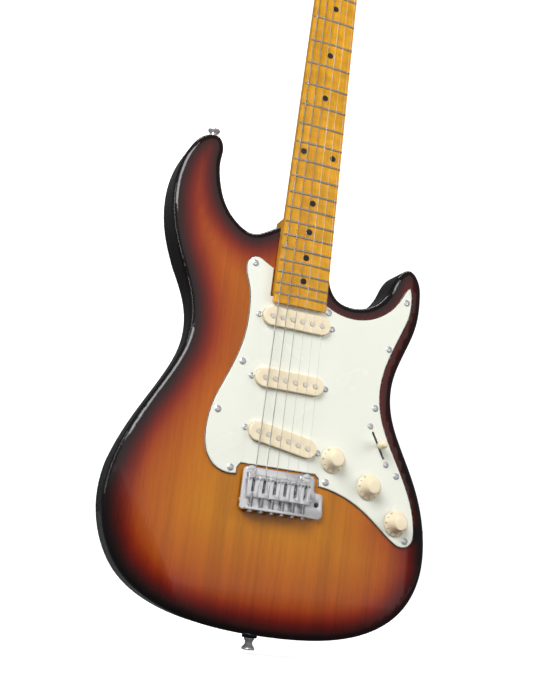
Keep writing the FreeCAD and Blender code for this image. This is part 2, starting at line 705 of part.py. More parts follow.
def make_neck_plate():
    plate = new_body("neck_plate_blank")
    half, tall, middle = dim("plate_width") / 2, dim("plate_height") / 2, dim("plate_z")
    corners = [(-1 + sx * half, middle + sz * tall, 5) for sx, sz in ((-1, -1), (1, -1), (1, 1), (-1, 1))]
    pad = pad_front(plate, rounded(corners), "plate_thick", "body_thick")
    round_edges(plate, pad, lambda edge: flat_edge(edge) and edge.BoundBox.YMin > 46, "0.6")
    holes = [cylinder("plate_hole", "neck_screw_radius + 0.2", "6", at(x, 44, z, INTO))
             for x, z in neck_screws()]
    seats = [cone("plate_seat", "4.35", "neck_screw_radius + 0.2", "1.9",
                  at(x, dim("body_thick") + dim("plate_thick") + 0.01, z, OUT)) for x, z in neck_screws()]
    subpart("neck_plate", cut("neck_plate", plate, *holes, *seats))
    dome = common("long_dome", primitive("Part::Sphere", "long_ball", at(0, 0, -6), Radius="7"),
                  cylinder("long_rim", "4.2", "3", at(0, 0, -1)))
    tip = -dim("neck_screw_length")
    solid = fuse("long_solid", dome, cone("long_neck", "neck_screw_radius", "4.2", "1.8", at(0, 0, -2.8)),
                 cylinder("long_rod", "neck_screw_radius", "neck_screw_length - 4", at(0, 0, tip + 2)),
                 cone("long_point", "0.4", "neck_screw_radius", "2", at(0, 0, tip)))
    arms = [primitive("Part::Box", "long_cross", at(-w / 2, -d / 2, -1.2), Length=str(w), Width=str(d),
                      Height="4")
            for w, d in ((4.4, 1.0), (1.0, 4.4))]
    master = cut("long_screw", solid, *arms)
    places = [at(x, dim("body_thick") + dim("plate_thick") + 1.0, z, INTO) for x, z in neck_screws()]
    places += [at(x, dim("spring_y"), dim("claw_z") - dim("claw_thick") - 2.6, DOWN) for x in (-14, 14)]
    subpart("long_wood_screws", copies("long_wood_screws", master, places))


def make_pickguard():
    guard = new_body("guard_blank")
    heel, half = dim("heel_end") - 0.3, dim("board_end_half") + 0.9
    shapes = spline(GUARD_BASS) + spline(GUARD_TREBLE)
    shapes += lines([GUARD_BASS[-1], (-41, 8), (-38, 12.5), (38, 12.5), (42, 9), GUARD_TREBLE[0]], False)
    shapes += lines([GUARD_TREBLE[-1], (half, 182.5), (half, heel), (-half, heel), GUARD_BASS[0]], False)
    pad = pad_front(guard, shapes, "guard_thick", "-guard_thick")
    cover = (dim("cover_length") + 0.5, dim("cover_width") + 0.5)
    for height, slant in pickups():
        pocket_front(guard, stadium(*cover, (0, height), slant), "guard_thick", "-guard_thick")
    slot = stadium(dim("switch_slot"), dim("switch_slot_wide"), SWITCH_CENTRE, -SWITCH_ANGLE)
    round_holes = [circle(x, z, dim("pot_hole"))[0] for x, z in KNOBS.values()]
    round_holes += [circle(x, z, dim("machine_radius") + 0.2)[0]
                    for x, z in pickup_screws() + switch_screws()]
    round_holes += [circle(x, z, dim("screw_shank") + 0.1)[0] for x, z in GUARD_SCREWS]
    pocket_front(guard, slot + round_holes, "guard_thick", "-guard_thick")
    seats = countersinks("guard", GUARD_SCREWS, -dim("guard_thick") - 0.01, INTO)
    seats += [cone("machine_seat", "3.1", "machine_radius + 0.1", "1.5",
                   at(x, -dim("guard_thick") - 0.01, z, INTO))
              for x, z in pickup_screws() + switch_screws()]
    subpart("pickguard", cut("pickguard", guard, *seats))
    return pad


def make_spring_cover():
    cover = new_body("cover_blank")
    corners = [(-50, -41, 6), (50, -41, 6), (50, 96, 6), (-50, 96, 6)]
    pad_front(cover, rounded(corners), "cover_plate_thick", "body_thick")
    pocket_front(cover, stadium(66, 15, (0, -11)), "cover_plate_thick", "body_thick")
    holes = [circle(x, z, dim("screw_shank") + 0.1)[0] for x, z in COVER_SCREWS]
    pocket_front(cover, holes, "cover_plate_thick", "body_thick")
    seats = [cone("cover_seat", "screw_head + 0.05", "screw_shank + 0.05", "1.7",
                  at(x, dim("body_thick") + dim("cover_plate_thick") + 0.01, z, OUT))
                  for x, z in COVER_SCREWS]
    subpart("spring_cover", cut("spring_cover", cover, *seats))


def make_machine_screws():
    """Pickup height screws and switch screws, in one group."""
    master = screw_master("machine", "2.9", "machine_radius - 0.05", "20")
    short = screw_master("switch", "2.9", "machine_radius - 0.05", "8")
    face = -dim("guard_thick") - 1.0
    pickup = copies("pickup_screw_group", master, [at(x, face, z, OUT) for x, z in pickup_screws()])
    switch = copies("switch_screw_group", short, [at(x, face, z, OUT) for x, z in switch_screws()])
    subpart("machine_screws", compound("machine_screws", [pickup, switch]))


# --- pickups ------------------------------------------------------------------------------------

def pole_places(y):
    """Six magnets under the strings of each pickup."""
    spots = []
    for pickup in pickups():
        for number in range(6):
            x, z = on_pickup((number - 2.5) * dim("pole_pitch"), 0, pickup)
            spots.append(at(x, y, z, INTO))
    return spots


def pickup_pieces(name, length, width, thick, start, bore=None):
    """The same stadium-shaped piece in all three pickups, cleared round the poles and screws."""
    pieces = []
    for number, (height, slant) in enumerate(pickups(), 1):
        body = new_body(f"{name}_{number}")
        pad_front(body, stadium(dim(length) if length in DIMENSIONS else length, width, (0, height), slant),
                  thick, start)
        if bore:
            pocket_front(body, stadium(*bore, (0, height), slant), thick, start)
        pieces.append(body)
    return pieces


def make_covers():
    wall = dim("cover_wall")
    shells = []
    for number, (height, slant) in enumerate(pickups(), 1):
        shell = new_body(f"cover_{number}")
        outer = stadium(dim("cover_length"), dim("cover_width"), (0, height), slant)
        pad = pad_front(shell, outer, "cover_top + cover_deep", "-cover_top")
        round_edges(shell, pad, lambda edge: flat_edge(edge) and edge.BoundBox.YMax < -7, "0.9")
        inner = stadium(dim("cover_length") - 2 * wall, dim("cover_width") - 2 * wall, (0, height), slant)
        pocket_front(shell, inner, "cover_top + cover_deep - cover_wall", "cover_wall - cover_top")
        shells.append(shell)
    holes = [cylinder("pole_hole", "pole_radius + 0.15", "6", place)
             for place in pole_places(-dim("pole_top") - 1)]
    subpart("pickup_covers", cut("pickup_covers", compound("cover_shells", shells), *holes))


def make_pickup_insides():
    """Fibre flats, wire coils and magnets; the lower flat carries the height screws."""
    top_flat = "cover_wall + 0.3 - cover_top"
    low_flat = "pole_length - pole_top - flat_thick - 1"
    narrow = dim("cover_length") - 2 * dim("cover_wall") - 1.2
    flats = pickup_pieces("top_flat", narrow, dim("cover_width") - 4.2, "flat_thick", top_flat)
    flats += pickup_pieces("low_flat", dim("flat_length") + 2, dim("flat_width") + 2, "flat_thick",
                           low_flat)
    holes = [cylinder("flat_hole", "pole_radius", "24", place)
             for place in pole_places(-dim("pole_top") - 2)]
    holes += [cylinder("thread_hole", "machine_radius", "20", at(x, 0, z, INTO))
              for x, z in pickup_screws()]
    subpart("pickup_bobbins", cut("pickup_bobbins", compound("flats", flats), *holes))
    coil_start = f"{top_flat} + flat_thick"
    coils = pickup_pieces("coil", narrow - 3, dim("cover_width") - 6.2,
                          f"({low_flat}) - ({coil_start})", coil_start, (58.5, 5.4))
    subpart("pickup_coils", compound("pickup_coils", coils))
    magnet = primitive("Part::Cylinder", "magnet", at(0, 0, 0), Radius="pole_radius", Height="pole_length")
    subpart("pole_magnets", copies("pole_magnets", magnet, pole_places(-dim("pole_top"))))
    gap = "pole_length - pole_top - flat_thick - 1"
    tube = cut("height_tube", cylinder("tube_out", "machine_radius + 1.4", gap, at(0, 0, 0)),
               cylinder("tube_in", "machine_radius + 0.2", gap, at(0, 0, 0)))
    subpart("pickup_tubes", copies("pickup_tubes", tube, [at(x, 0, z, INTO) for x, z in pickup_screws()]))


# --- controls -----------------------------------------------------------------------------------

def hexagon(name, bore):
    """A hexagonal nut with its bore along local z."""
    nut = primitive("Part::Prism", name + "_hex", at(0, 0, 0), Circumradius="hex_across / 1.732",
                    Height="hex_thick")
    return cut(name, nut, cylinder(name + "_bore", bore, "4", at(0, 0, -1)))


def make_pots():
    places = [at(x, 0, z, INTO) for x, z in KNOBS.values()]
    can = fuse("pot_can", cylinder("pot_cup", "pot_radius", "pot_deep", at(0, 0, 0.6)),
               cylinder("pot_bush", "pot_bush_radius", "6.5", at(0, 0, -5.2)),
               primitive("Part::Box", "pot_lugs", at(-6, -15.5, 1.6), Length="12", Width="6", Height="1.2"))
    pot = cut("pot", can, cylinder("pot_bore", "shaft_bore", "9.5", at(0, 0, -5.3)))
    subpart("pots", copies("pots", pot, places))
    tops = [at(x, -dim("guard_thick"), z, OUT) for x, z in KNOBS.values()]
    tops.append(at(dim("jack_face_x") + dim("jack_plate_thick"), size_of("body_thick / 2"), dim("jack_z"),
                   RIGHT))
    subpart("hex_nuts", copies("hex_nuts", hexagon("pot_nut", "pot_bush_radius"), tops))


def knob_profile():
    """Half-section of a flared skirt knob over its nut: (radius, height above the pickguard)."""
    lift, high = dim("knob_lift"), dim("knob_high")
    skirt, waist, crown = dim("knob_skirt"), dim("knob_waist"), dim("knob_crown")
    return [(0, 8.2), (crown - 0.6, 8.2), (skirt - 1.2, 1.0), (skirt, 1.0), (skirt, 2.0),
            (waist + 0.9, 4.2 + lift / 4),
            (waist, 5.6 + lift / 4), (crown, high + 0.2), (crown - 0.8, high + 1.0), (0, high + 1.2)]


def make_knobs():
    """Each knob turns with its control's shaft, which is a solid of its own inside it."""
    for name, (x, z) in KNOBS.items():
        knob = revolved(name + "_shell", knob_profile())
        bored = cut(name + "_bored", knob, cylinder(name + "_seat", "shaft_radius", "4", at(0, 0, 8)))
        shaft = cylinder(name + "_shaft", "shaft_radius", "12", at(0, 0, 0))
        pair = compound(name + "_pair", [bored, shaft])
        subpart(name, copies(name, pair, [at(x, -dim("guard_thick"), z, OUT)]))


def make_switch():
    """A lever switch whose lever rocks about a pin across the slot."""
    x, z = SWITCH_CENTRE
    seat = Placement(Vector(x, 0, z), Rotation(Vector(0, 1, 0), SWITCH_ANGLE))
    pivot, gap = dim("switch_pivot"), 4.2
    bar = primitive("Part::Box", "switch_bar", at(-26, 0.2, -5.5), Length="52", Width="1.6", Height="11")
    cheeks = [primitive("Part::Box", "switch_cheek", at(-15, 0.2, side), Length="30", Width="26",
                        Height="1.2")
              for side in (gap, -gap - 1.2)]
    wafer = primitive("Part::Box", "switch_wafer", at(-20, 26.2, -dim("wafer_wide") / 2),
                      Length="40", Width="2", Height="wafer_wide")
    pin = cylinder("switch_pin", "1.5", f"{2 * gap}", at(0, pivot, -gap))
    window = primitive("Part::Box", "switch_window", at(-16, -1, -2.2), Length="32", Width="4",
                       Height="4.4")
    screws = [cylinder("switch_thread", "machine_radius", "6",
                       at(side * size_of("switch_screws / 2"), -1, 0, INTO))
              for side in (-1, 1)]
    frame = cut("switch_body", fuse("switch_solid", bar, *cheeks, wafer, pin), window, *screws)
    subpart("switch_frame", copies("switch_frame", frame, [seat]))
    reach = dim("lever_reach")
    arm = primitive("Part::Box", "lever_arm", at(-dim("lever_wide") / 2, -reach, -dim("lever_thick") / 2),
                    Length="lever_wide", Width="switch_pivot + lever_reach", Height="lever_thick")
    hub = cylinder("lever_hub", "4.5", "3.2", at(0, pivot, -1.6))
    lever = cut("lever", fuse("lever_solid", arm, hub),
                cylinder("lever_bore", "1.55", "6", at(0, pivot, -3)))
    subpart("switch_lever", copies("switch_lever", lever, [seat]))
    tip = revolved("tip_shell", [(0, 0), (3.2, 0), (4.2, 3.0), (3.9, 9.5), (2.7, 12.2), (0, 13)])
    slit = box("tip_slit", "lever_wide", "lever_thick", "5.7", at(0, 0, -0.1))
    subpart("switch_tip",
            copies("switch_tip", cut("tip_cap", tip, slit), [seat * at(0, 5.6 - reach, 0, OUT)]))


def tube(points, radius, bend):
    """A round tube along straight runs joined by tangent arcs."""
    path, last = [], Vector(*points[0])
    for before, corner, after in zip(points, points[1:], points[2:]):
        here = Vector(*corner)
        back, ahead = Vector(*before) - here, Vector(*after) - here
        reach = min(bend / math.tan(back.getAngle(ahead) / 2), 0.45 * back.Length, 0.45 * ahead.Length)
        turn = reach * math.tan(back.getAngle(ahead) / 2)
        back.normalize()
        ahead.normalize()
        start, stop = here + back * reach, here + ahead * reach
        middle = back + ahead
        depth = turn / math.sin(back.getAngle(ahead) / 2) - turn
        middle.normalize()
        path += [Part.LineSegment(last, start).toShape(),
                 Part.Arc(start, here + middle * depth, stop).toShape()]
        last = stop
    path.append(Part.LineSegment(last, Vector(*points[-1])).toShape())
    wire = Part.Wire(path)
    first = Vector(*points[1]) - Vector(*points[0])
    ring = Part.Wire([Part.Circle(Vector(*points[0]), first, radius).toShape()])
    return wire.makePipeShell([ring], True, True)


def make_wiring():
    """Insulated leads between the controls and to the jack, and the tone capacitor."""
    routes = [
        [(54.5, 13, 20), (54.5, 17, 12), (74, 19, 4), (88, 17, 2)],
        [(96, 15, -2), (104, 18, -10), (116, 17, -16), (124, 14, -19)],
        [(60, 14, 38), (70, 20, 46), (80, 22, 52), (88, 20, 54)],
        [(44, 12, 100), (38, 14, 90), (37, 13, 70), (38, 15, 50), (48, 14, 38)],
    ]
    leads = [tube(route, 0.9, 5) for route in routes]
    capacitor = Part.makeCylinder(5, 3.5, Vector(110, 22, 2), Vector(0, 1, 0))
    subpart("wiring", coded("wiring", Part.makeCompound([*leads, capacitor])))


def make_jack():
    y, z, face = size_of("body_thick / 2"), dim("jack_z"), dim("jack_face_x")
    side = "jack_plate_side"
    plate = primitive("Part::Box", "jack_plate_blank",
                      at(face, y - size_of(side) / 2, z - size_of(side) / 2),
                      Length="jack_plate_thick", Width=side, Height=side)
    hole = cylinder("jack_hole", "jack_thread", "6", at(face - 2, y, z, RIGHT))
    seats = [cone("jack_seat", "screw_head + 0.05", "screw_shank + 0.05", "1.7",
                  at(face + dim("jack_plate_thick") + 0.01, y + s * 11, z + s * 11, LEFT)) for s in (-1, 1)]
    subpart("jack_plate", cut("jack_plate", plate, hole, *seats))
    sleeve = cylinder("jack_sleeve", "jack_thread", "22", at(face - 18, y, z, RIGHT))
    frame = cylinder("jack_frame", "9", "17.9", at(face - 18, y, z, RIGHT))
    tip_room = box("jack_side", "30", "10", "22", at(face - 18, y + 9.5, z - 11))
    bore = cylinder("jack_hollow", "jack_bore", "23", at(face - 18.5, y, z, RIGHT))
    subpart("jack_socket",
            cut("jack_socket", fuse("jack_solid", sleeve, cut("jack_can", frame, tip_room)), bore))


# --- tremolo ------------------------------------------------------------------------------------

def make_studs():
    """Two height-adjustable pivot studs, each screwed into its bushing in the body."""
    groove = "bridge_top + stud_gap"
    stud = fuse("stud",
                cylinder("stud_head", "stud_head", "stud_head_thick", at(0, 0, size_of(groove))),
                cylinder("stud_post", "stud_post", f"{groove} + 16", at(0, 0, -16)),
                cylinder("stud_collar", "stud_head - 0.6", "1.4", at(0, 0, 0)))
    slit = box("stud_slit", "12", "1.4", "3", at(0, 0, size_of(groove) + 1.0))
    places = [at(x, 0, z, OUT) for x, z in studs()]
    subpart("pivot_studs", copies("pivot_studs", cut("slotted_stud", stud, slit), places))
    bushing = cut("bushing", cylinder("bushing_out", "bushing_radius", "bushing_deep", at(0, 0, 0)),
                  cylinder("bushing_in", "stud_post", "bushing_deep", at(0, 0, 0)))
    subpart("stud_bushings", copies("stud_bushings", bushing, [at(x, 0, z, INTO) for x, z in studs()]))


def make_bridge_plate():
    top, thick, rear = "-bridge_top", "bridge_thick", dim("plate_rear")
    plate = new_body("bridge_blank")
    outline = rounded([(-35.4, rear, 3), (48.5, rear, 5), (46.6, -6, 3),
                       (37.5, -5, 2), (36.8, 10.2, 4), (-35.4, 10.2, 4)])
    pad_front(plate, outline, thick, top)
    notches = []
    for x, z in studs():
        radius = dim("stud_post") + dim("knife_gap")
        notches += [Part.ArcOfCircle(Part.Circle(Vector(x, z, 0), Vector(0, 0, 1), radius), math.pi,
                                     2 * math.pi),
                    *lines([(x + radius, z), (x + radius, 14), (x - radius, 14), (x - radius, z)], False)]
    pocket_front(plate, notches, thick, top)
    holes = [circle(x, dim("string_hole_z"), 2.4)[0] for x in string_xs()]
    holes += [circle(x, -6.0, 1.6)[0] for x in block_screw_xs()]
    holes.append(circle(dim("arm_x"), dim("arm_z"), dim("arm_bore"))[0])
    pocket_front(plate, holes, thick, top)
    boss = cut("arm_boss", cylinder("arm_tube", "arm_boss", "arm_length - bridge_thick",
                                    at(dim("arm_x"), -3, dim("arm_z"), INTO)),
               cylinder("arm_hollow", "arm_bore", "arm_length", at(dim("arm_x"), -3, dim("arm_z"), INTO)))
    lip = primitive("Part::Box", "bridge_lip", at(-32, -size_of("bridge_top + lip_high"), rear),
                    Length="64", Width="lip_high", Height="lip_thick")
    bores = [cylinder("lip_hole", "machine_radius", "6", at(x, -lip_screw_y(), rear - 1))
             for x in string_xs()]
    subpart("bridge_plate", cut("bridge_plate", fuse("bridge_solid", plate, boss, lip), *bores))


def lip_screw_y():
    return dim("bridge_top") + 4.6


def block_screw_xs():
    return (-26.25 + 5.25, 0.0, 26.25 - 5.25)


def make_block():
    """The inertia block: string bores from below, screw holes above, spring holes in its foot."""
    half, low = size_of("block_length / 2"), -dim("bridge_top") + dim("bridge_thick")
    blank = primitive("Part::Box", "block_blank", at(-half, low, dim("block_front") - dim("block_thick")),
                      Length="block_length", Width="block_bottom + bridge_top - bridge_thick",
                      Height="block_thick")
    bores, z = [], dim("string_hole_z")
    for x in string_xs():
        bores.append(cylinder("string_bore", "string_hole", "60", at(x, -10, z, INTO)))
        bores.append(cylinder("ball_bore", "string_hole + 1.2", "22",
                              at(x, dim("block_bottom") - 20, z, INTO)))
    bores += [cylinder("block_thread", "1.5", "12", at(x, low - 1, -6.0, INTO)) for x in block_screw_xs()]
    bores += [cylinder("spring_hole", "spring_wire + 0.15", "8",
                       at(x, dim("block_bottom") - 6, spring_hook_z(), INTO))
              for x in spring_xs()]
    subpart("tremolo_block", cut("tremolo_block", blank, *bores))
    head = cylinder("block_head", "2.7", "1.8", at(0, 0, 0))
    rod = cylinder("block_rod", "1.5", "12", at(0, 0, -11.9))
    hollow = primitive("Part::Box", "block_cross", at(-1.8, -0.4, 1.0), Length="3.6", Width="0.8",
                       Height="2")
    screw = cut("block_screw", fuse("block_screw_solid", head, rod), hollow)
    places = [at(x, -dim("bridge_top"), -6.0, OUT) for x in block_screw_xs()]
    subpart("block_screws", copies("block_screws", screw, places))


def spring_xs():
    return (-22.0, 0.0, 22.0)


def spring_hook_z():
    return dim("block_front") - 3.0


def saddle_top(x, radius):
    """Depth of a saddle's crest, just under its string."""
    return string_y(x, 0) + radius + 0.03


def make_saddles():
    """Bent steel saddles: a slotted top plate with a turned-down tail that takes the length screw."""
    wide, thick, tail = dim("saddle_width"), dim("saddle_plate"), -dim("saddle_long")
    heel, foot_x = -dim("bridge_top") - 1.2, dim("height_screw_x")
    saddles = []
    for number, (x, radius) in enumerate(zip(string_xs(), STRING_RADII), 1):
        top = saddle_top(x, radius)
        plate = new_body(f"saddle_{number}")
        section = [(1.0, top), (2.8, top + 0.7), (3.8, top + 2.0), (3.8, top + 3.0), (2.3, top + 3.0),
                   (2.1, top + 2.6), (1.4, top + thick + 0.5), (-0.5, top + thick),
                   (tail + thick, top + thick), (tail + thick, heel), (tail, heel),
                   (tail, top + 0.6), (tail + 0.6, top)]
        sketch = sketch_on(plate, "YZ_Plane", lines([(y, z) for z, y in section]), x - wide / 2)
        pad = plate.newObject("PartDesign::Pad", f"saddle_pad_{number}")
        pad.Profile = sketch
        pad.setExpression("Length", formula("saddle_width"))
        DOC.recompute()
        slot = primitive("Part::Box", "saddle_slot", at(x - 1.6, top - 2, -13.5),
                         Length="3.2", Width="7", Height="14.25")
        threads = [cylinder("saddle_thread", "height_screw", "8",
                            at(x + side * foot_x, top - 1, -0.8, INTO))
                   for side in (-1, 1)]
        eye = cylinder("saddle_eye", "machine_radius", "6", at(x, -lip_screw_y(), tail - 2))
        saddles.append(cut(f"saddle_cut_{number}", plate, slot, *threads, eye))
    subpart("saddles", compound("saddles", saddles))


def make_height_screws():
    """Two grub screws through each saddle, standing on the bridge plate."""
    screws = []
    for x, radius in zip(string_xs(), STRING_RADII):
        head = saddle_top(x, radius) - 0.5
        length = str(-dim("bridge_top") - head)
        for side in (-1, 1):
            place = at(x + side * dim("height_screw_x"), head, -0.8, INTO)
            screws.append(cylinder("height_screw", "height_screw", length, place))
    subpart("saddle_height_screws", compound("saddle_height_screws", screws))


def make_length_screws():
    """The screw that pulls each saddle back to the plate's lip, and the spring round it."""
    rear, lip, tail, y = dim("plate_rear"), dim("lip_thick"), -dim("saddle_long"), -lip_screw_y()
    gap = tail - rear - lip
    screws, springs = [], []
    for x in string_xs():
        rod = cylinder("length_rod", "machine_radius - 0.05", str(tail + 4 - rear), at(x, y, rear - 0.2))
        head = cylinder("length_head", "2.6", "2.2", at(x, y, rear - 2.2))
        screws.append(fuse("length_screw", rod, head))
        outside = cylinder("spring_out", "2.3", str(gap - 0.1), at(x, y, rear + lip + 0.05))
        inside = cylinder("spring_in", "machine_radius + 0.1", str(gap), at(x, y, rear + lip))
        springs.append(cut("length_spring", outside, inside))
    subpart("intonation_screws", compound("intonation_screws", screws))
    subpart("intonation_springs", compound("intonation_springs", springs))


def make_springs():
    """Claw, and the tension springs that balance the strings: each a coil between two hooks."""
    y, wire = dim("spring_y"), dim("spring_wire")
    claw_z, foot = dim("claw_z"), dim("block_bottom")
    plate = primitive("Part::Box", "claw_bar", at(-30, y - 6, claw_z), Length="60", Width="12",
                      Height="claw_thick")
    tabs = [primitive("Part::Box", "claw_tab", at(x - 4, y - 2.9, claw_z - 7), Length="8", Width="1.4",
                      Height="7.5")
            for x in spring_xs()]
    holes = [cylinder("claw_hole", "neck_screw_radius + 0.2", "6", at(x, y, claw_z - 2)) for x in (-14, 14)]
    eyes = [cylinder("claw_eye", "spring_wire + 0.15", "8", at(x, y - 6, claw_z - 4.5, INTO))
            for x in spring_xs()]
    subpart("spring_claw", cut("spring_claw", fuse("claw_solid", plate, *tabs), *holes, *eyes))
    springs = []
    for x in spring_xs():
        hook = spring_hook_z()
        coil = Part.makeCylinder(dim("spring_radius"), claw_z - 16 - 4, Vector(x, y, 6))
        coil = coil.cut(Part.makeCylinder(dim("spring_radius") - 1.4, claw_z - 23, Vector(x, y, 7.5)))
        lower = tube([(x, y, 7), (x, y, hook), (x, foot - 4, hook)], wire, 1.2)
        upper = tube([(x, y, claw_z - 15), (x, y, claw_z - 4.5), (x, y - 3.4, claw_z - 4.5)], wire, 1.2)
        springs.append(coil.fuse([lower, upper]))
    subpart("tremolo_springs", coded("tremolo_springs", Part.makeCompound(springs)))


# --- strings and headstock ----------------------------------------------------------------------

def make_strings():
    """Six strings, each from its ball end in the block over saddle and nut to its post."""
    strings = []
    nut_z = dim("scale_length") + dim("nut_thick") / 2
    face, hole_z, deepest = dim("head_face"), dim("string_hole_z"), dim("block_bottom") - 22
    heights = zip(string_xs(), nut_xs(), posts(), STRING_RADII)
    for number, (x, nut_x, (post_x, post_z), radius) in enumerate(heights):
        side = post_x + dim("post_radius") + radius + 0.02
        route = [(x, deepest, hole_z), (x, -dim("bridge_top") - 0.6, hole_z + 0.2),
                 (x, string_y(x, 0), 0.0), (nut_x, string_y(nut_x, nut_z), nut_z)]
        if number in (2, 3, 4, 5):
            tree = TREES[number // 2 - 1][1]
            share = (tree - nut_z) / (post_z - nut_z)
            route.append((nut_x + share * (side - nut_x), face - 4.2, tree))
        route.append((side, face - 5.5, post_z))
        ball = Part.makeCylinder(2.2, 4, Vector(x, deepest + 2, hole_z), Vector(0, 1, 0))
        stub = Part.makeCylinder(radius, 3, Vector(x, deepest, hole_z), Vector(0, 1, 0))
        strings.append(tube(route, radius, 2.5).fuse(ball.fuse(stub)))
    subpart("strings", coded("strings", Part.makeCompound(strings)))


def make_trees():
    """Two string trees: a bent bar over a pair of strings, on a screw into the headstock."""
    trees = []
    face = dim("head_face")
    for middle, z in tree_places():
        bar = primitive("Part::Box", "tree_bar", at(middle - 6, face - 5.6, z - 2), Length="12", Width="1",
                        Height="4")
        stem = cylinder("tree_stem", "tree_stem", "9.6", at(middle, face - 4.6, z, INTO))
        head = cylinder("tree_head", "2.2", "0.9", at(middle, face - 6.5, z, INTO))
        trees.append(fuse("tree", bar, stem, head))
    subpart("string_trees", compound("string_trees", trees))


def make_tuners():
    """Six sealed tuners: housing and bushing, a post with its gear, a button on its worm shaft."""
    back, face = dim("head_face") + dim("head_thick"), dim("head_face")
    housings, bushings = [], []
    for number, (x, z) in enumerate(posts(), 1):
        offset, y = dim("worm_offset"), dim("worm_y")
        outer = box(f"housing_{number}", "17", "20", "tuner_deep", at(x, back, z + 2.4, INTO))
        hollow = box(f"gear_room_{number}", "17 - 2 * tuner_wall", "20 - 2 * tuner_wall",
                     "tuner_deep - tuner_wall",
                     at(x, back, z + 2.4, INTO))
        journal = cylinder(f"worm_bore_{number}", "worm_bore", "12", at(x - 2, y, z + offset, LEFT))
        housings.append(cut(f"housing_cut_{number}", outer, hollow, journal))
        sleeve = fuse(f"bushing_{number}",
                      cylinder("bush_sleeve", "tuner_bush_radius", "head_thick", at(x, face, z, INTO)),
                      cylinder("bush_flange", "tuner_bush_radius + 2", "1.6", at(x, face - 1.6, z, INTO)))
        bushings.append(cut(f"bushing_cut_{number}", sleeve,
                            cylinder("bush_bore", "post_bore", "30", at(x, face - 5, z, INTO))))
        post = fuse(f"post_{number}",
                    cylinder("post_rod", "post_radius", "post_high + head_thick + tuner_deep - 2",
                                               at(x, face - dim("post_high"), z, INTO)),
                    cylinder("post_gear", "gear_radius", "4.4", at(x, y - 2.2, z, INTO)))
        eye = cylinder(f"post_eye_{number}", "1.0", "10", at(x - 5, face - 7.5, z, RIGHT))
        subpart(f"tuner_post_{number}", cut(f"tuner_post_{number}", post, eye))
        shaft = cylinder(f"worm_rod_{number}", "worm_shaft", "22", at(x + 5, y, z + offset, LEFT))
        worm = cylinder(f"worm_{number}", "worm_radius", "9", at(x + 4.5, y, z + offset, LEFT))
        paddle = new_body(f"paddle_{number}")
        shape = spline([(x - 16.5, z + offset), (x - 18.5, z + offset + 4.5), (x - 24, z + offset + 8.6),
                        (x - 29.5, z + offset + 6.5), (x - 31, z + offset), (x - 29.5, z + offset - 6.5),
                        (x - 24, z + offset - 8.6), (x - 18.5, z + offset - 4.5)], True)
        pad = pad_front(paddle, shape, "6", "worm_y - 3")
        round_edges(paddle, pad, flat_edge, "1.8")
        subpart(f"tuner_button_{number}", fuse(f"tuner_button_{number}", shaft, worm, paddle))
    subpart("tuner_housings", compound("tuner_housings", housings))
    subpart("tuner_bushings", compound("tuner_bushings", bushings))


def make_strap_buttons():
    """Strap buttons at the tail and on the bass horn, each with its felt and screw."""
    high, radius, neck = dim("strap_high"), dim("strap_radius"), dim("strap_neck")
    button = revolved("strap_shell", [(2.2, 0), (radius - 1.6, 0), (radius - 1.3, 0.9), (neck, 3.4),
                                      (neck, high - 5.0), (radius - 0.6, high - 2.2), (radius, high - 1.1),
                                      (radius - 0.8, high), (2.2, high)])
    felt = cut("felt", cylinder("felt_disc", "felt_radius", "felt_thick", at(0, 0, 0)),
               cylinder("felt_hole", "2.2", "felt_thick", at(0, 0, 0)))
    rod = cylinder("strap_rod", "strap_screw_radius", "strap_high + 18", at(0, 0, -18))
    screw = fuse("strap_screw", rod, cylinder("strap_screw_head", "2.1", "2", at(0, 0, high - 3)))
    y = size_of("body_thick / 2")
    seats = [at(0, y, -142.4, DOWN), at(dim("horn_x"), y, 331.4, UP)]
    raised = [seat.multiply(at(0, 0, dim("felt_thick"))) for seat in seats]
    subpart("strap_buttons", copies("strap_buttons", button, raised))
    subpart("strap_felts", copies("strap_felts", felt, seats))
    subpart("strap_button_screws", copies("strap_button_screws", screw, raised))


def check_and_write():
    """Stops on any failed object, then writes one STEP file for each sub-part."""
    DOC.recompute()
    failed = [item.Label for item in DOC.Objects if "Invalid" in item.State or "Error" in item.State]
    if failed:
        raise RuntimeError("failed: " + ", ".join(failed))
    os.makedirs("parts", exist_ok=True)
    for item in PARTS:
        shape = item.Shape
        if shape.isNull() or not shape.isValid() or not shape.Solids:
            raise RuntimeError(f"{item.Label} is not a valid solid")
        shape.exportStep(f"parts/{item.Label}.step")
        print(f"{item.Label}: {len(shape.Solids)} solids, {shape.Volume / 1000:.2f} cm3")


fill_sheet()
make_body()
make_neck()
make_fretboard()
make_nut()
subpart("truss_rod", rod_shape("truss_rod"))
make_plate_screws()
make_neck_plate()
make_pickguard()
make_spring_cover()
make_machine_screws()
make_covers()
make_pickup_insides()
make_pots()
make_knobs()
make_switch()
make_wiring()
make_jack()
make_studs()
make_bridge_plate()
make_block()
make_saddles()
make_height_screws()
make_length_screws()
make_springs()
make_strings()
make_trees()
make_tuners()
make_strap_buttons()
check_and_write()
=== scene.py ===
import json
import math

import bmesh
import bpy
import numpy as np
from mathutils import Matrix, Vector


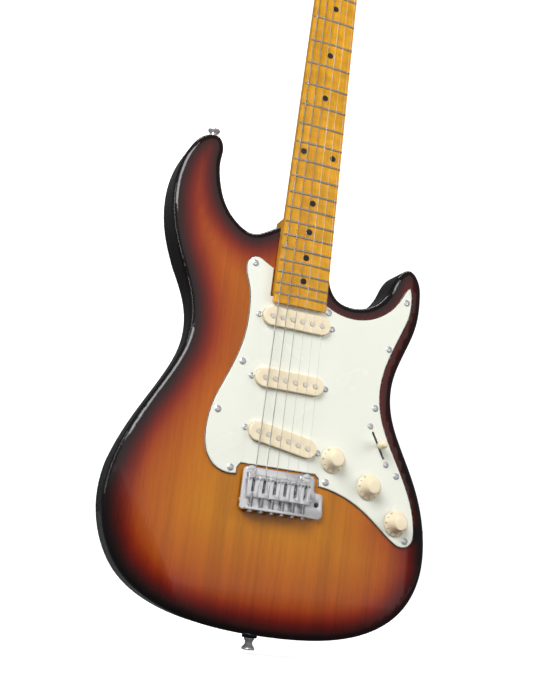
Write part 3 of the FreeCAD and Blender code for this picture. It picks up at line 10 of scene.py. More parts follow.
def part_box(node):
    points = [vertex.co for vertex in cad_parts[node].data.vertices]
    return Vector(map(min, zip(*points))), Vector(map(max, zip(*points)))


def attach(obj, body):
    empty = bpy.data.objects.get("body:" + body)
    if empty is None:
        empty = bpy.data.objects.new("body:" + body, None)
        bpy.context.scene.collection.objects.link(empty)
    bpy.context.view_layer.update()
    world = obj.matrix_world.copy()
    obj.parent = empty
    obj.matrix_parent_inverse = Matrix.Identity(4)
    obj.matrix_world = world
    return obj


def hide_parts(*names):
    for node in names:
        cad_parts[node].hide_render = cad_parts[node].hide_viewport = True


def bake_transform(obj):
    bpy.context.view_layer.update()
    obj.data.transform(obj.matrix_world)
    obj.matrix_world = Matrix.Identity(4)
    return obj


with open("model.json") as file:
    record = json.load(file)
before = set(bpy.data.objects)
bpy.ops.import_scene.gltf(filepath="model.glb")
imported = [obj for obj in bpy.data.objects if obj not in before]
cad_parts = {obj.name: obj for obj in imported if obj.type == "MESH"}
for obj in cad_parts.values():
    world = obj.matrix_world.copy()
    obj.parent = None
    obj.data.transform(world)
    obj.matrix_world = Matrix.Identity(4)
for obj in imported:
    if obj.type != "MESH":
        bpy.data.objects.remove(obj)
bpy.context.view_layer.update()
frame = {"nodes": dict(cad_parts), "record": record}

MM = 0.001
ROOT, BRIDGE = "guitar", "tremolo"
NODES, RECORD = frame["nodes"], frame["record"]
SLOT_OF = {entry["node"]: entry["material_slot"] for entry in RECORD["subparts"]}
BODY_OF = {node: body for body, nodes in RECORD["behaviour"]["bodies"].items() for node in nodes}

# The working frame of the design: x to the treble side, y into the body from its front face,
# z up the neck from the saddle line. at() carries a point in millimetres to the row frame.
FACE_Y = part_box("body")[0].y / MM
SCALE = 647.7                                         # saddle line to nut
SADDLE_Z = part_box("fretboard")[1].z / MM - SCALE
GUARD_THICK = 2.3
HORN_X = -103.6                                       # the bass horn's strap button
OUT = Matrix.Rotation(math.radians(90), 4, "X")       # local z points out of the front


def at(x, y, z):
    return Vector((x * MM, (y + FACE_Y) * MM, (z + SADDLE_Z) * MM))


bpy.ops.object.select_all(action="DESELECT")


# --- shader building -----------------------------------------------------------------------------

def node(tree, kind, **values):
    """A shader node with its settings and unlinked input values."""
    made = tree.nodes.new(kind)
    for name, value in values.items():
        socket = made.inputs.get(name.replace("_", " "))
        if socket is not None:
            socket.default_value = value
        else:
            setattr(made, name, value)
    return made


def join(tree, *pairs):
    for source, target in pairs:
        tree.links.new(source, target)


def ramp(tree, source, stops):
    """A colour ramp over (place, colour) stops."""
    made = tree.nodes.new("ShaderNodeValToRGB")
    bar = made.color_ramp
    while len(bar.elements) < len(stops):
        bar.elements.new(0.5)
    for element, (place, colour) in zip(bar.elements, stops):
        element.position = place
        element.color = (*colour, 1) if len(colour) == 3 else colour
    tree.links.new(source, made.inputs["Fac"])
    return made.outputs["Color"]


def grey(value):
    return (value, value, value)


def mapped(tree, source, scale, location=(0, 0, 0)):
    mapping = node(tree, "ShaderNodeMapping")
    mapping.inputs["Scale"].default_value = scale
    mapping.inputs["Location"].default_value = location
    tree.links.new(source, mapping.inputs["Vector"])
    return mapping.outputs["Vector"]


def mix(tree, factor, first, second, kind="MIX"):
    """Mixes two colours; each side is a socket or a colour."""
    made = tree.nodes.new("ShaderNodeMix")
    made.data_type = "RGBA"
    made.blend_type = kind
    for socket, value in ((made.inputs[0], factor), (made.inputs[6], first), (made.inputs[7], second)):
        if isinstance(value, bpy.types.NodeSocket):
            tree.links.new(value, socket)
        else:
            socket.default_value = value if isinstance(value, float) else (*value, 1)
    return made.outputs[2]


def maths(tree, operation, first, second=0.0):
    made = node(tree, "ShaderNodeMath", operation=operation)
    for socket, value in zip(made.inputs, (first, second)):
        if isinstance(value, bpy.types.NodeSocket):
            tree.links.new(value, socket)
        else:
            socket.default_value = value
    return made.outputs["Value"]


def new_group(name, inputs, outputs):
    """An empty node group with float inputs and named outputs of the given kinds."""
    group = bpy.data.node_groups.new(name, "ShaderNodeTree")
    for label, value in inputs.items():
        group.interface.new_socket(label, in_out="INPUT", socket_type="NodeSocketFloat").default_value = value
    for label, kind in outputs.items():
        group.interface.new_socket(label, in_out="OUTPUT", socket_type=kind)
    return group, group.nodes.new("NodeGroupInput"), group.nodes.new("NodeGroupOutput")


def grain_group():
    """Straight wood grain along the neck's line: broad bands, fine lines and short open pores."""
    group, given, result = new_group(
        "straight_grain", {"Line scale": 1.0, "Pore scale": 1.0},
        {"Bands": "NodeSocketFloat", "Lines": "NodeSocketFloat", "Pores": "NodeSocketFloat"})
    place = group.nodes.new("ShaderNodeTexCoord").outputs["Object"]
    wander = node(group, "ShaderNodeTexNoise", Scale=1.0, Detail=2.0)
    join(group, (mapped(group, place, (14, 14, 3.2)), wander.inputs["Vector"]))
    swing = node(group, "ShaderNodeVectorMath", operation="SCALE")
    swing.inputs["Scale"].default_value = 0.006
    join(group, (wander.outputs["Color"], swing.inputs[0]))
    shifted = node(group, "ShaderNodeVectorMath", operation="ADD")
    join(group, (place, shifted.inputs[0]), (swing.outputs[0], shifted.inputs[1]))
    bent = shifted.outputs[0]
    bands = node(group, "ShaderNodeTexNoise", Scale=1.0, Detail=3.0)
    join(group, (mapped(group, bent, (55, 55, 1.6)), bands.inputs["Vector"]))
    lines = node(group, "ShaderNodeTexNoise", Detail=4.0, Roughness=0.65)
    join(group, (mapped(group, bent, (420, 420, 7)), lines.inputs["Vector"]),
         (given.outputs["Line scale"], lines.inputs["Scale"]))
    pores = node(group, "ShaderNodeTexNoise", Detail=1.0)
    join(group, (mapped(group, bent, (1500, 1500, 60)), pores.inputs["Vector"]),
         (given.outputs["Pore scale"], pores.inputs["Scale"]))
    open_pores = ramp(group, pores.outputs["Fac"], [(0.60, grey(0)), (0.72, grey(1))])
    join(group, (bands.outputs["Fac"], result.inputs["Bands"]),
         (lines.outputs["Fac"], result.inputs["Lines"]),
         (open_pores, result.inputs["Pores"]))
    return group


def handling_group():
    """Faint smears, hairline scratches and dust specks of an object that has been handled."""
    group, given, result = new_group(
        "handling", {"Smear size": 1.0}, {"Smear": "NodeSocketFloat", "Hairlines": "NodeSocketFloat",
                                         "Specks": "NodeSocketFloat"})
    place = group.nodes.new("ShaderNodeTexCoord").outputs["Object"]
    smear = node(group, "ShaderNodeTexNoise", Detail=5.0, Distortion=0.6)
    join(group, (mapped(group, place, (22, 22, 22)), smear.inputs["Vector"]),
         (given.outputs["Smear size"], smear.inputs["Scale"]))
    hair = node(group, "ShaderNodeTexNoise", Scale=1.0, Detail=3.0)
    join(group, (mapped(group, place, (900, 160, 60)), hair.inputs["Vector"]))
    specks = node(group, "ShaderNodeTexVoronoi", Scale=650.0)
    join(group, (place, specks.inputs["Vector"]))
    spots = ramp(group, specks.outputs["Distance"], [(0.04, grey(1)), (0.10, grey(0))])
    join(group, (smear.outputs["Fac"], result.inputs["Smear"]),
         (hair.outputs["Fac"], result.inputs["Hairlines"]), (spots, result.inputs["Specks"]))
    return group


def worn_edge_group():
    """How far a point lies on a sharp outer edge, from the bevelled normal's difference."""
    group, given, result = new_group("worn_edge", {"Reach": 0.0004}, {"Edge": "NodeSocketFloat"})
    soft = node(group, "ShaderNodeBevel", samples=4)
    join(group, (given.outputs["Reach"], soft.inputs["Radius"]))
    plain = group.nodes.new("ShaderNodeNewGeometry")
    dot = node(group, "ShaderNodeVectorMath", operation="DOT_PRODUCT")
    join(group, (soft.outputs["Normal"], dot.inputs[0]), (plain.outputs["Normal"], dot.inputs[1]))
    edge = ramp(group, dot.outputs["Value"], [(0.90, grey(1)), (0.995, grey(0))])
    join(group, (edge, result.inputs["Edge"]))
    return group


GRAIN, HANDLING, WORN_EDGE = grain_group(), handling_group(), worn_edge_group()


def placed(tree, group, **values):
    made = tree.nodes.new("ShaderNodeGroup")
    made.node_tree = group
    for label, value in values.items():
        made.inputs[label.replace("_", " ")].default_value = value
    return made


def material(name, **sockets):
    """A new material; returns it with its tree and Principled BSDF."""
    made = bpy.data.materials.new(name)
    made.use_nodes = True
    tree = made.node_tree
    shader = tree.nodes["Principled BSDF"]
    for label, value in sockets.items():
        socket = shader.inputs[label.replace("_", " ")]
        socket.default_value = (*value, 1) if isinstance(value, tuple) else value
    return made, tree, shader


def varied_roughness(tree, shader, low, high, group=None):
    """Roughness that wanders between two values with the handling marks."""
    marks = group or placed(tree, HANDLING)
    spread = node(tree, "ShaderNodeMapRange", From_Min=0.3, From_Max=0.7, To_Min=low, To_Max=high)
    join(tree, (marks.outputs["Smear"], spread.inputs["Value"]),
         (spread.outputs["Result"], shader.inputs["Roughness"]))
    return marks


def bumped(tree, shader, height, distance, strength=0.5):
    bump = node(tree, "ShaderNodeBump", Strength=strength, Distance=distance)
    join(tree, (height, bump.inputs["Height"]), (bump.outputs["Normal"], shader.inputs["Normal"]))


# --- materials -----------------------------------------------------------------------------------

def sunburst_lacquer():
    """Three-tone burst by distance from the rim, over straight grain, under a thick clear coat."""
    made, tree, shader = material("sunburst_lacquer", Coat_Weight=1.0, Coat_Roughness=0.025, Coat_IOR=1.5,
                                  Specular_IOR_Level=0.02)
    wood = placed(tree, GRAIN)
    reach = node(tree, "ShaderNodeAttribute", attribute_name="rim_distance")
    cloud = node(tree, "ShaderNodeTexNoise", Scale=9.0, Detail=2.0)
    place = tree.nodes.new("ShaderNodeTexCoord").outputs["Object"]
    join(tree, (place, cloud.inputs["Vector"]))
    drift = maths(tree, "MULTIPLY", maths(tree, "SUBTRACT", cloud.outputs["Fac"], 0.5), 0.010)
    depth = maths(tree, "MULTIPLY", maths(tree, "ADD", reach.outputs["Fac"], drift), 10.0)
    tint = ramp(tree, depth, [
        (0.0, (0.004, 0.003, 0.004)), (0.05, (0.010, 0.003, 0.003)), (0.10, (0.045, 0.004, 0.003)),
        (0.15, (0.11, 0.005, 0.002)), (0.19, (0.18, 0.011, 0.001)), (0.235, (0.25, 0.022, 0.001)),
        (0.28, (0.32, 0.042, 0.001)), (0.34, (0.37, 0.063, 0.001)), (0.45, (0.43, 0.092, 0.001)),
        (0.72, (0.49, 0.140, 0.001)), (0.95, (0.53, 0.178, 0.001))])
    bands = ramp(tree, wood.outputs["Bands"], [
        (0.32, grey(0.84)), (0.52, grey(1.0)), (0.7, (1.07, 1.09, 1.08))])
    lines = ramp(tree, wood.outputs["Lines"], [(0.35, grey(0.89)), (0.55, grey(1.0)), (0.75, grey(1.05))])
    colour = mix(tree, 1.0, mix(tree, 1.0, tint, bands, "MULTIPLY"), lines, "MULTIPLY")
    dark = mix(tree, 0.16, colour, (0.05, 0.012, 0.004), "MULTIPLY")
    join(tree, (mix(tree, wood.outputs["Pores"], colour, dark), shader.inputs["Base Color"]))
    varied_roughness(tree, shader, 0.30, 0.42)
    round_rim = node(tree, "ShaderNodeBevel", samples=6, Radius=0.0025)
    join(tree, (round_rim.outputs["Normal"], shader.inputs["Normal"]),
         (round_rim.outputs["Normal"], shader.inputs["Coat Normal"]))
    return made


def lacquered_maple(name, light, dark, coat, rough):
    """Amber maple with fine lines and faint cross figure."""
    made, tree, shader = material(name, Coat_Weight=coat, Coat_Roughness=rough, Specular_IOR_Level=0.1)
    wood = placed(tree, GRAIN, Line_scale=1.2, Pore_scale=1.6)
    place = tree.nodes.new("ShaderNodeTexCoord").outputs["Object"]
    figure = node(tree, "ShaderNodeTexNoise", Scale=1.0, Detail=2.0)
    join(tree, (mapped(tree, place, (40, 30, 95)), figure.inputs["Vector"]))
    base = ramp(tree, wood.outputs["Bands"], [(0.3, dark), (0.55, light), (0.8, light)])
    waves = ramp(tree, figure.outputs["Fac"], [(0.38, grey(0.86)), (0.60, grey(1.05))])
    lines = ramp(tree, wood.outputs["Lines"], [(0.34, grey(0.84)), (0.6, grey(1.03))])
    colour = mix(tree, 1.0, mix(tree, 1.0, base, waves, "MULTIPLY"), lines, "MULTIPLY")
    flecks = mix(tree, 0.45, colour, (0.30, 0.14, 0.05), "MULTIPLY")
    join(tree, (mix(tree, wood.outputs["Pores"], colour, flecks), shader.inputs["Base Color"]))
    varied_roughness(tree, shader, rough + 0.12, rough + 0.25)
    return made


def three_ply():
    """Mint white over black over white, told apart by depth, so a bevelled edge shows its plies."""
    made, tree, shader = material("three_ply_sheet", Coat_Weight=0.25, Coat_Roughness=0.12)
    place = tree.nodes.new("ShaderNodeTexCoord").outputs["Object"]
    depth = node(tree, "ShaderNodeSeparateXYZ")
    join(tree, (place, depth.inputs[0]))
    face, back = (corner.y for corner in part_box("pickguard"))
    front = node(tree, "ShaderNodeMapRange", From_Min=face, From_Max=back)
    join(tree, (depth.outputs["Y"], front.inputs["Value"]))
    tone = node(tree, "ShaderNodeTexNoise", Scale=14.0, Detail=3.0)
    join(tree, (place, tone.inputs["Vector"]))
    top = ramp(tree, tone.outputs["Fac"], [(0.3, (0.83, 0.85, 0.75)), (0.7, (0.86, 0.875, 0.78))])
    plies = ramp(tree, front.outputs["Result"], [
        (0.0, grey(0)), (0.30, grey(0)), (0.34, grey(1)), (0.58, grey(1)),
        (0.62, (0, 1, 0)), (1.0, (0, 1, 0))])
    parts = node(tree, "ShaderNodeSeparateColor")
    join(tree, (plies, parts.inputs[0]))
    black = mix(tree, parts.outputs["Red"], top, (0.012, 0.012, 0.012))
    backing = maths(tree, "SUBTRACT", parts.outputs["Green"], parts.outputs["Red"])
    base = mix(tree, backing, black, (0.8, 0.8, 0.76))
    join(tree, (base, shader.inputs["Base Color"]))
    marks = varied_roughness(tree, shader, 0.16, 0.30)
    bumped(tree, shader, marks.outputs["Hairlines"], 0.00002, 0.15)
    return made


def moulded(name, colour, shade, low=0.28, high=0.42, coat=0.0):
    """Moulded plastic: a slow change of tone, mould texture and rubbed outer edges."""
    made, tree, shader = material(name, Coat_Weight=coat, Coat_Roughness=0.15)
    place = tree.nodes.new("ShaderNodeTexCoord").outputs["Object"]
    tone = node(tree, "ShaderNodeTexNoise", Scale=45.0, Detail=3.0)
    join(tree, (place, tone.inputs["Vector"]))
    base = ramp(tree, tone.outputs["Fac"], [(0.35, shade), (0.65, colour)])
    edge = placed(tree, WORN_EDGE, Reach=0.0005)
    lighter = tuple(min(1.0, value * 1.08 + 0.01) for value in colour)
    join(tree, (mix(tree, edge.outputs["Edge"], base, lighter), shader.inputs["Base Color"]))
    marks = varied_roughness(tree, shader, low, high)
    grit = node(tree, "ShaderNodeTexNoise", Scale=2400.0, Detail=2.0)
    join(tree, (place, grit.inputs["Vector"]))
    bumped(tree, shader, mix(tree, 0.3, grit.outputs["Fac"], marks.outputs["Specks"]), 0.00002, 0.35)
    return made


def metal(name, colour, dull, low, high, brush=0.0, edge=0.3, bare=1.0):
    """Bare or plated metal: roughness that wanders, dulled patches, bright rubbed edges."""
    made, tree, shader = material(name, Metallic=bare)
    marks = varied_roughness(tree, shader, low, high)
    base = ramp(tree, marks.outputs["Smear"], [(0.35, colour), (0.75, dull)])
    rubbed = placed(tree, WORN_EDGE, Reach=0.0003)
    bright = tuple(min(1.0, value * 1.15) for value in colour)
    glint = maths(tree, "MULTIPLY", rubbed.outputs["Edge"], edge)
    join(tree, (mix(tree, glint, base, bright), shader.inputs["Base Color"]))
    if brush:
        bumped(tree, shader, marks.outputs["Hairlines"], 0.00003, brush)
    return made


def wound_wire():
    """Round-wound string: turns of wrap wire as fine ridges along the neck's line, with painted shade
    darkening the grooves between turns.
    """
    made, tree, shader = material("wound_wire", Metallic=1.0)
    place = tree.nodes.new("ShaderNodeTexCoord").outputs["Object"]
    turns = node(tree, "ShaderNodeTexWave", wave_type="BANDS", bands_direction="Z", Scale=520.0)
    join(tree, (place, turns.inputs["Vector"]))
    # painted shade: the wire's colour falls to 0.20 in the grooves between the turns
    base = ramp(tree, turns.outputs["Fac"], [
        (0.0, (0.20, 0.19, 0.18)), (0.5, (0.62, 0.60, 0.57)), (1.0, (0.74, 0.72, 0.69))])
    join(tree, (base, shader.inputs["Base Color"]))
    varied_roughness(tree, shader, 0.25, 0.40)
    bumped(tree, shader, turns.outputs["Fac"], 0.00012, 0.8)
    return made


def fibrous(name, colour, shade, scale, depth):
    """Felt, fibre board or waxed cloth: a tangle of short dark threads."""
    made, tree, shader = material(name, Roughness=0.9)
    place = tree.nodes.new("ShaderNodeTexCoord").outputs["Object"]
    threads = node(tree, "ShaderNodeTexNoise", Scale=scale, Detail=6.0, Roughness=0.7, Distortion=1.2)
    join(tree, (place, threads.inputs["Vector"]))
    base = ramp(tree, threads.outputs["Fac"], [(0.35, shade), (0.65, colour)])
    join(tree, (base, shader.inputs["Base Color"]))
    bumped(tree, shader, threads.outputs["Fac"], depth, 0.8)
    return made


CREAM = moulded("cream_plastic", (0.90, 0.79, 0.57), (0.87, 0.75, 0.52), 0.30, 0.42)
BLACK_PRINT = moulded("dark_print", (0.16, 0.12, 0.07), (0.12, 0.09, 0.05), 0.5, 0.6)
CHROME = metal("polished_chrome", (0.90, 0.90, 0.92), (0.82, 0.82, 0.84), 0.20, 0.30, bare=0.72)
STEEL = metal("plated_steel", (0.46, 0.46, 0.47), (0.34, 0.34, 0.35), 0.28, 0.40, 0.2, bare=0.85)
FINISHES = {
    "sunburst_wood": sunburst_lacquer(),
    "maple": lacquered_maple("amber_maple", (0.68, 0.33, 0.030), (0.58, 0.25, 0.020), 0.5, 0.16),
    "board_maple": lacquered_maple("board_maple", (0.72, 0.35, 0.020), (0.62, 0.28, 0.012), 0.6, 0.12),
    "nickel": metal("nickel_fret", (0.86, 0.80, 0.68), (0.74, 0.68, 0.56), 0.24, 0.36),
    "black_inlay": moulded("black_inlay", (0.012, 0.011, 0.011), (0.007, 0.007, 0.007), 0.5, 0.6),
    "bone": moulded("bone", (0.78, 0.73, 0.60), (0.70, 0.64, 0.50), 0.35, 0.5),
    "dark_steel": metal("dark_steel", (0.12, 0.12, 0.12), (0.08, 0.08, 0.08), 0.35, 0.5),
    "chrome": CHROME,
    "mint_plastic": three_ply(),
    "cream_plastic": CREAM,
    "black_fibre": fibrous("black_fibre", (0.03, 0.03, 0.03), (0.012, 0.012, 0.012), 1500.0, 0.00004),
    "copper_wire": metal("enamelled_wire", (0.35, 0.11, 0.04), (0.25, 0.07, 0.03), 0.25, 0.4, 0.6),
    "magnet_steel": metal("ground_magnet", (0.76, 0.70, 0.62), (0.66, 0.60, 0.52), 0.45, 0.58, 0.4, bare=0.3),
    "black_rubber": moulded("black_rubber", (0.02, 0.02, 0.02), (0.014, 0.014, 0.014), 0.55, 0.7),
    "plated_steel": STEEL,
    "lead_cloth": fibrous("waxed_cloth", (0.45, 0.42, 0.32), (0.34, 0.31, 0.22), 2600.0, 0.00004),
    "cast_block": metal("plated_casting", (0.34, 0.34, 0.35), (0.24, 0.24, 0.25), 0.30, 0.48, 0.3),
    "string_steel": metal("plain_wire", (0.60, 0.59, 0.57), (0.50, 0.49, 0.47), 0.38, 0.48),
    "black_felt": fibrous("black_felt", (0.03, 0.03, 0.032), (0.008, 0.008, 0.009), 900.0, 0.0002),
}
WOUND = wound_wire()


# --- shaping pieces ------------------------------------------------------------------------------

def editing(piece):
    """Makes one piece active, with all of it selected in edit mode."""
    if bpy.context.mode != "OBJECT":
        bpy.ops.object.mode_set(mode="OBJECT")
    bpy.ops.object.select_all(action="DESELECT")
    piece.select_set(True)
    bpy.context.view_layer.objects.active = piece
    bpy.ops.object.mode_set(mode="EDIT")
    bpy.ops.mesh.select_mode(type="VERT")
    bpy.ops.mesh.select_all(action="SELECT")


def cleaned(piece):
    """Doubles merged and normals turned outward; ends in object mode."""
    editing(piece)
    bpy.ops.mesh.remove_doubles(threshold=1e-6)
    bpy.ops.mesh.normals_make_consistent(inside=False)
    bpy.ops.object.mode_set(mode="OBJECT")


def copy_of(source, name):
    """A merged copy of a node's mesh, to be worked on."""
    piece = bpy.data.objects.new(name, NODES[source].data.copy())
    bpy.context.scene.collection.objects.link(piece)
    piece.data.materials.clear()
    editing(piece)
    bpy.ops.mesh.customdata_custom_splitnormals_clear()
    bpy.ops.object.mode_set(mode="OBJECT")
    cleaned(piece)
    return piece


def finished(piece, body, slot, *stands_for, angle=35, finish=None):
    """Smooths a piece by angle, gives it its finish and sets it on its body."""
    bpy.ops.object.select_all(action="DESELECT")
    piece.select_set(True)
    bpy.context.view_layer.objects.active = piece
    bpy.ops.object.shade_smooth_by_angle(angle=math.radians(angle))
    piece.data.materials.clear()
    piece.data.materials.append(finish or FINISHES[slot])
    if stands_for:
        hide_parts(*stands_for)
    if body:
        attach(piece, body)
    return piece


def select_edges(piece, wanted, sharper=40):
    """Selects the edges sharper than an angle for which wanted(middle) is true."""
    editing(piece)
    bpy.ops.mesh.select_mode(type="EDGE")
    bpy.ops.mesh.select_all(action="DESELECT")
    mesh = bmesh.from_edit_mesh(piece.data)
    for edge in mesh.edges:
        sharp = len(edge.link_faces) == 2 and edge.calc_face_angle(0) > math.radians(sharper)
        edge.select = sharp and wanted((edge.verts[0].co + edge.verts[1].co) / 2)
    bmesh.update_edit_mesh(piece.data)


def softened(source, width, segments=2, wanted=None, sharper=40, flat=True):
    """A copy of a node with its chosen edges rounded or bevelled by width millimetres."""
    piece = copy_of(source, source + "_piece")
    if width:
        if flat:
            editing(piece)
            bpy.ops.mesh.dissolve_limited(angle_limit=math.radians(0.4))
        select_edges(piece, wanted or (lambda middle: True), sharper)
        bpy.ops.mesh.bevel(offset=width * MM, segments=segments, affect="EDGES", clamp_overlap=True)
        bpy.ops.object.mode_set(mode="OBJECT")
    return finished(piece, BODY_OF[source], SLOT_OF[source], source)


def turned(name, profile, steps):
    """A lathe-turned piece: a line of (radius, height) points in millimetres, spun about z."""
    bpy.ops.object.select_all(action="DESELECT")
    bpy.ops.mesh.primitive_plane_add(size=MM)
    piece = bpy.context.active_object
    piece.name = name
    editing(piece)
    bpy.ops.mesh.merge(type="CENTER")
    points = [Vector((radius * MM, 0, height * MM)) for radius, height in profile]
    bpy.ops.transform.translate(value=points[0])
    for start, stop in zip(points, points[1:]):
        bpy.ops.mesh.extrude_vertices_move(TRANSFORM_OT_translate={"value": stop - start})
    bpy.ops.mesh.select_all(action="SELECT")
    bpy.ops.mesh.spin(steps=steps, angle=2 * math.pi, center=(0, 0, 0), axis=(0, 0, 1))
    bpy.ops.object.mode_set(mode="OBJECT")
    cleaned(piece)
    return piece


def wire(name, routes, radius, sides=8, swell=()):
    """Round wire along routes of points, as one mesh; swell lists radius factors for the first points."""
    bpy.ops.object.select_all(action="DESELECT")
    bpy.ops.curve.primitive_bezier_curve_add()
    piece = bpy.context.active_object
    piece.name = name
    piece.data.splines.clear()
    for route in routes:
        line = piece.data.splines.new("POLY")
        line.points.add(len(route) - 1)
        for point, place in zip(line.points, route):
            point.co = (*place, 1)
        for point, factor in zip(line.points, swell):
            point.radius = factor
    piece.data.dimensions = "3D"
    piece.data.bevel_depth = radius * MM
    piece.data.bevel_resolution = max(0, sides // 4)
    piece.data.use_fill_caps = True
    bpy.ops.object.convert(target="MESH")
    piece = bpy.context.active_object
    cleaned(piece)
    return piece


def edge_loops(edges):
    """The separate chains of connected edges, as lists."""
    waiting, loops = set(edges), []
    while waiting:
        chain, ends = [], [waiting.pop()]
        while ends:
            edge = ends.pop()
            chain.append(edge)
            near = {other for vert in edge.verts for other in vert.link_edges if other in waiting}
            waiting -= near
            ends.extend(near)
        loops.append(chain)
    return loops


def across(loop):
    """How wide a chain of edges reaches along x."""
    reach = [vert.co.x for edge in loop for vert in edge.verts]
    return max(reach) - min(reach)


# --- body and pickguard --------------------------------------------------------------------------

def outline(piece, depth):
    """The short runs, as pairs of (x, z) ends, that the body's outline makes at a depth in millimetres."""
    mesh = bmesh.new()
    mesh.from_mesh(piece.data)
    everything = mesh.verts[:] + mesh.edges[:] + mesh.faces[:]
    made = bmesh.ops.bisect_plane(mesh, geom=everything, plane_co=(0, depth * MM, 0), plane_no=(0, 1, 0))
    cut = [part for part in made["geom_cut"] if isinstance(part, bmesh.types.BMEdge)]
    loop = max(edge_loops(cut), key=across)
    runs = np.array([[[vert.co.x, vert.co.z] for vert in edge.verts] for edge in loop])
    mesh.free()
    return runs


def rim_distance(piece):
    """Writes on each vertex how far it lies inside the body's outline, seen from the front."""
    plain, behind = outline(piece, 0), outline(piece, 11.5)
    bass = plain.max(axis=1)[:, 0] < -50 * MM
    near_screw = (np.abs(plain[:, :, 0] - HORN_X * MM) < 2.5 * MM).any(axis=1)
    horn_bore = near_screw & (plain[:, :, 1] > 0.45).any(axis=1)
    treble = behind.max(axis=1)[:, 0] >= -50 * MM
    runs = np.concatenate((plain[bass & ~horn_bore], behind[treble]))
    places = np.empty(len(piece.data.vertices) * 3)
    piece.data.vertices.foreach_get("co", places)
    flat = places.reshape(-1, 3)[:, [0, 2]]
    nearest = np.full(len(flat), 1.0)
    for start, stop in runs:
        along = stop - start
        share = np.clip((flat - start) @ along / max(along @ along, 1e-12), 0, 1)
        nearest = np.minimum(nearest, np.linalg.norm(flat - start - share[:, None] * along, axis=1))
    piece.data.attributes.new("rim_distance", "FLOAT", "POINT").data.foreach_set("value", nearest)


def sunburst_body():
    """The body, cut by a fine grid so that the burst can follow its outline."""
    piece = copy_of("body", "sunburst_body")
    low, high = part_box("body")
    editing(piece)
    for axis, step in (((1, 0, 0), 6 * MM), ((0, 0, 1), 6 * MM)):
        normal = Vector(axis)
        place = low.dot(normal) + step / 2
        while place < high.dot(normal):
            bpy.ops.mesh.select_all(action="SELECT")
            bpy.ops.mesh.bisect(plane_co=normal * place, plane_no=normal)
            place += step
    bpy.ops.object.mode_set(mode="OBJECT")
    rim_distance(piece)
    finished(piece, ROOT, "sunburst_wood", "body", angle=50)


def pickguard_piece():
    """The pickguard with its outer front edge bevelled, which bares its plies."""
    piece = copy_of("pickguard", "pickguard_piece")
    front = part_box("pickguard")[0].y
    editing(piece)
    bpy.ops.mesh.dissolve_limited(angle_limit=math.radians(0.4))
    select_edges(piece, lambda middle: middle.y < front + 1e-5)
    mesh = bmesh.from_edit_mesh(piece.data)
    rim = set(max(edge_loops([edge for edge in mesh.edges if edge.select]), key=across))
    for edge in mesh.edges:
        edge.select = edge in rim
    bmesh.update_edit_mesh(piece.data)
    bpy.ops.mesh.bevel(offset=1.3 * MM, segments=1, affect="EDGES", clamp_overlap=False)
    bpy.ops.object.mode_set(mode="OBJECT")
    return finished(piece, ROOT, "mint_plastic", "pickguard", angle=25)


# --- controls ------------------------------------------------------------------------------------

KNOB_PROFILE = [
    (0, 8.2), (6.4, 8.2), (11.4, 1.0), (12.55, 1.0), (12.8, 1.25), (12.8, 1.8), (12.6, 2.1), (11.4, 2.75),
    (10.2, 3.6), (9.3, 4.8), (8.7, 6.2), (8.1, 8.4), (7.4, 11.4), (7.0, 12.8), (6.8, 13.3), (6.35, 13.7),
    (5.6, 13.9), (3.0, 13.98), (0, 14.0)]


def skirt_numbers():
    """The numbers one to ten round a knob's skirt, each lying on the slope, as one flat mesh."""
    marks = []
    for number in range(1, 11):
        bpy.ops.object.select_all(action="DESELECT")
        bpy.ops.object.text_add()
        mark = bpy.context.active_object
        mark.data.body = str(number)
        mark.data.align_x, mark.data.align_y = "CENTER", "CENTER"
        mark.data.size = 3.0 * MM
        mark.data.extrude = 0.02 * MM
        bpy.ops.object.convert(target="MESH")
        mark = bpy.context.active_object
        turn = Matrix.Rotation(math.radians(-30 * (number - 5.5)), 4, "Z")
        lean = Matrix.Rotation(math.radians(31), 4, "X")
        mark.data.transform(turn @ Matrix.Translation((0, -11.1 * MM, 3.06 * MM)) @ lean)
        marks.append(mark)
    for mark in marks:
        mark.select_set(True)
    bpy.ops.object.join()
    joined = bpy.context.active_object
    joined.name = "knob_numbers"
    return joined


def knobs():
    """Three turned knobs with their numbers, each set on its control."""
    master, numbers = turned("knob_master", KNOB_PROFILE, 72), skirt_numbers()
    for source in ("volume_knob", "neck_tone_knob", "middle_tone_knob"):
        low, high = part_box(source)
        middle = (low + high) / 2
        turn = Matrix.Rotation(math.radians(-12), 4, "Z")
        place = Matrix.Translation((middle.x, (FACE_Y - GUARD_THICK) * MM, middle.z)) @ OUT @ turn
        for original, name, slot, finish in ((master, source + "_shell", "cream_plastic", CREAM),
                                             (numbers, source + "_numbers", "cream_plastic", BLACK_PRINT)):
            piece = bpy.data.objects.new(name, original.data.copy())
            bpy.context.scene.collection.objects.link(piece)
            piece.data.transform(place)
            stands = (source,) if original is master else ()
            finished(piece, BODY_OF[source], slot, *stands, angle=30, finish=finish)
    bpy.data.objects.remove(master)
    bpy.data.objects.remove(numbers)


# --- springs and strings -------------------------------------------------------------------------

def coil(start, stop, radius, turns, lean=0.0):
    """Points of a helix from start to stop."""
    along = stop - start
    forward = along.normalized()
    side = forward.orthogonal().normalized()
    other = forward.cross(side)
    count = int(turns * 16)
    points = []
    for index in range(count + 1):
        share = index / count
        angle = 2 * math.pi * turns * share + lean
        points.append(start + along * share + (side * math.cos(angle) + other * math.sin(angle)) * radius)
    return points


def length_springs():
    """The six coil springs round the saddles' length screws."""
    low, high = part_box("intonation_springs")
    y = (low.y + high.y) / 2
    for number, x in enumerate(STRING_XS, 1):
        start = Vector((x * MM, y, low.z + 0.4 * MM))
        stop = Vector((x * MM, y, high.z - 0.4 * MM))
        line = coil(start, stop, 1.95 * MM, 6, number)
        piece = wire(f"length_spring_{number}", [line], 0.34, 8)
        finished(piece, BRIDGE, "plated_steel", "intonation_springs", angle=60)


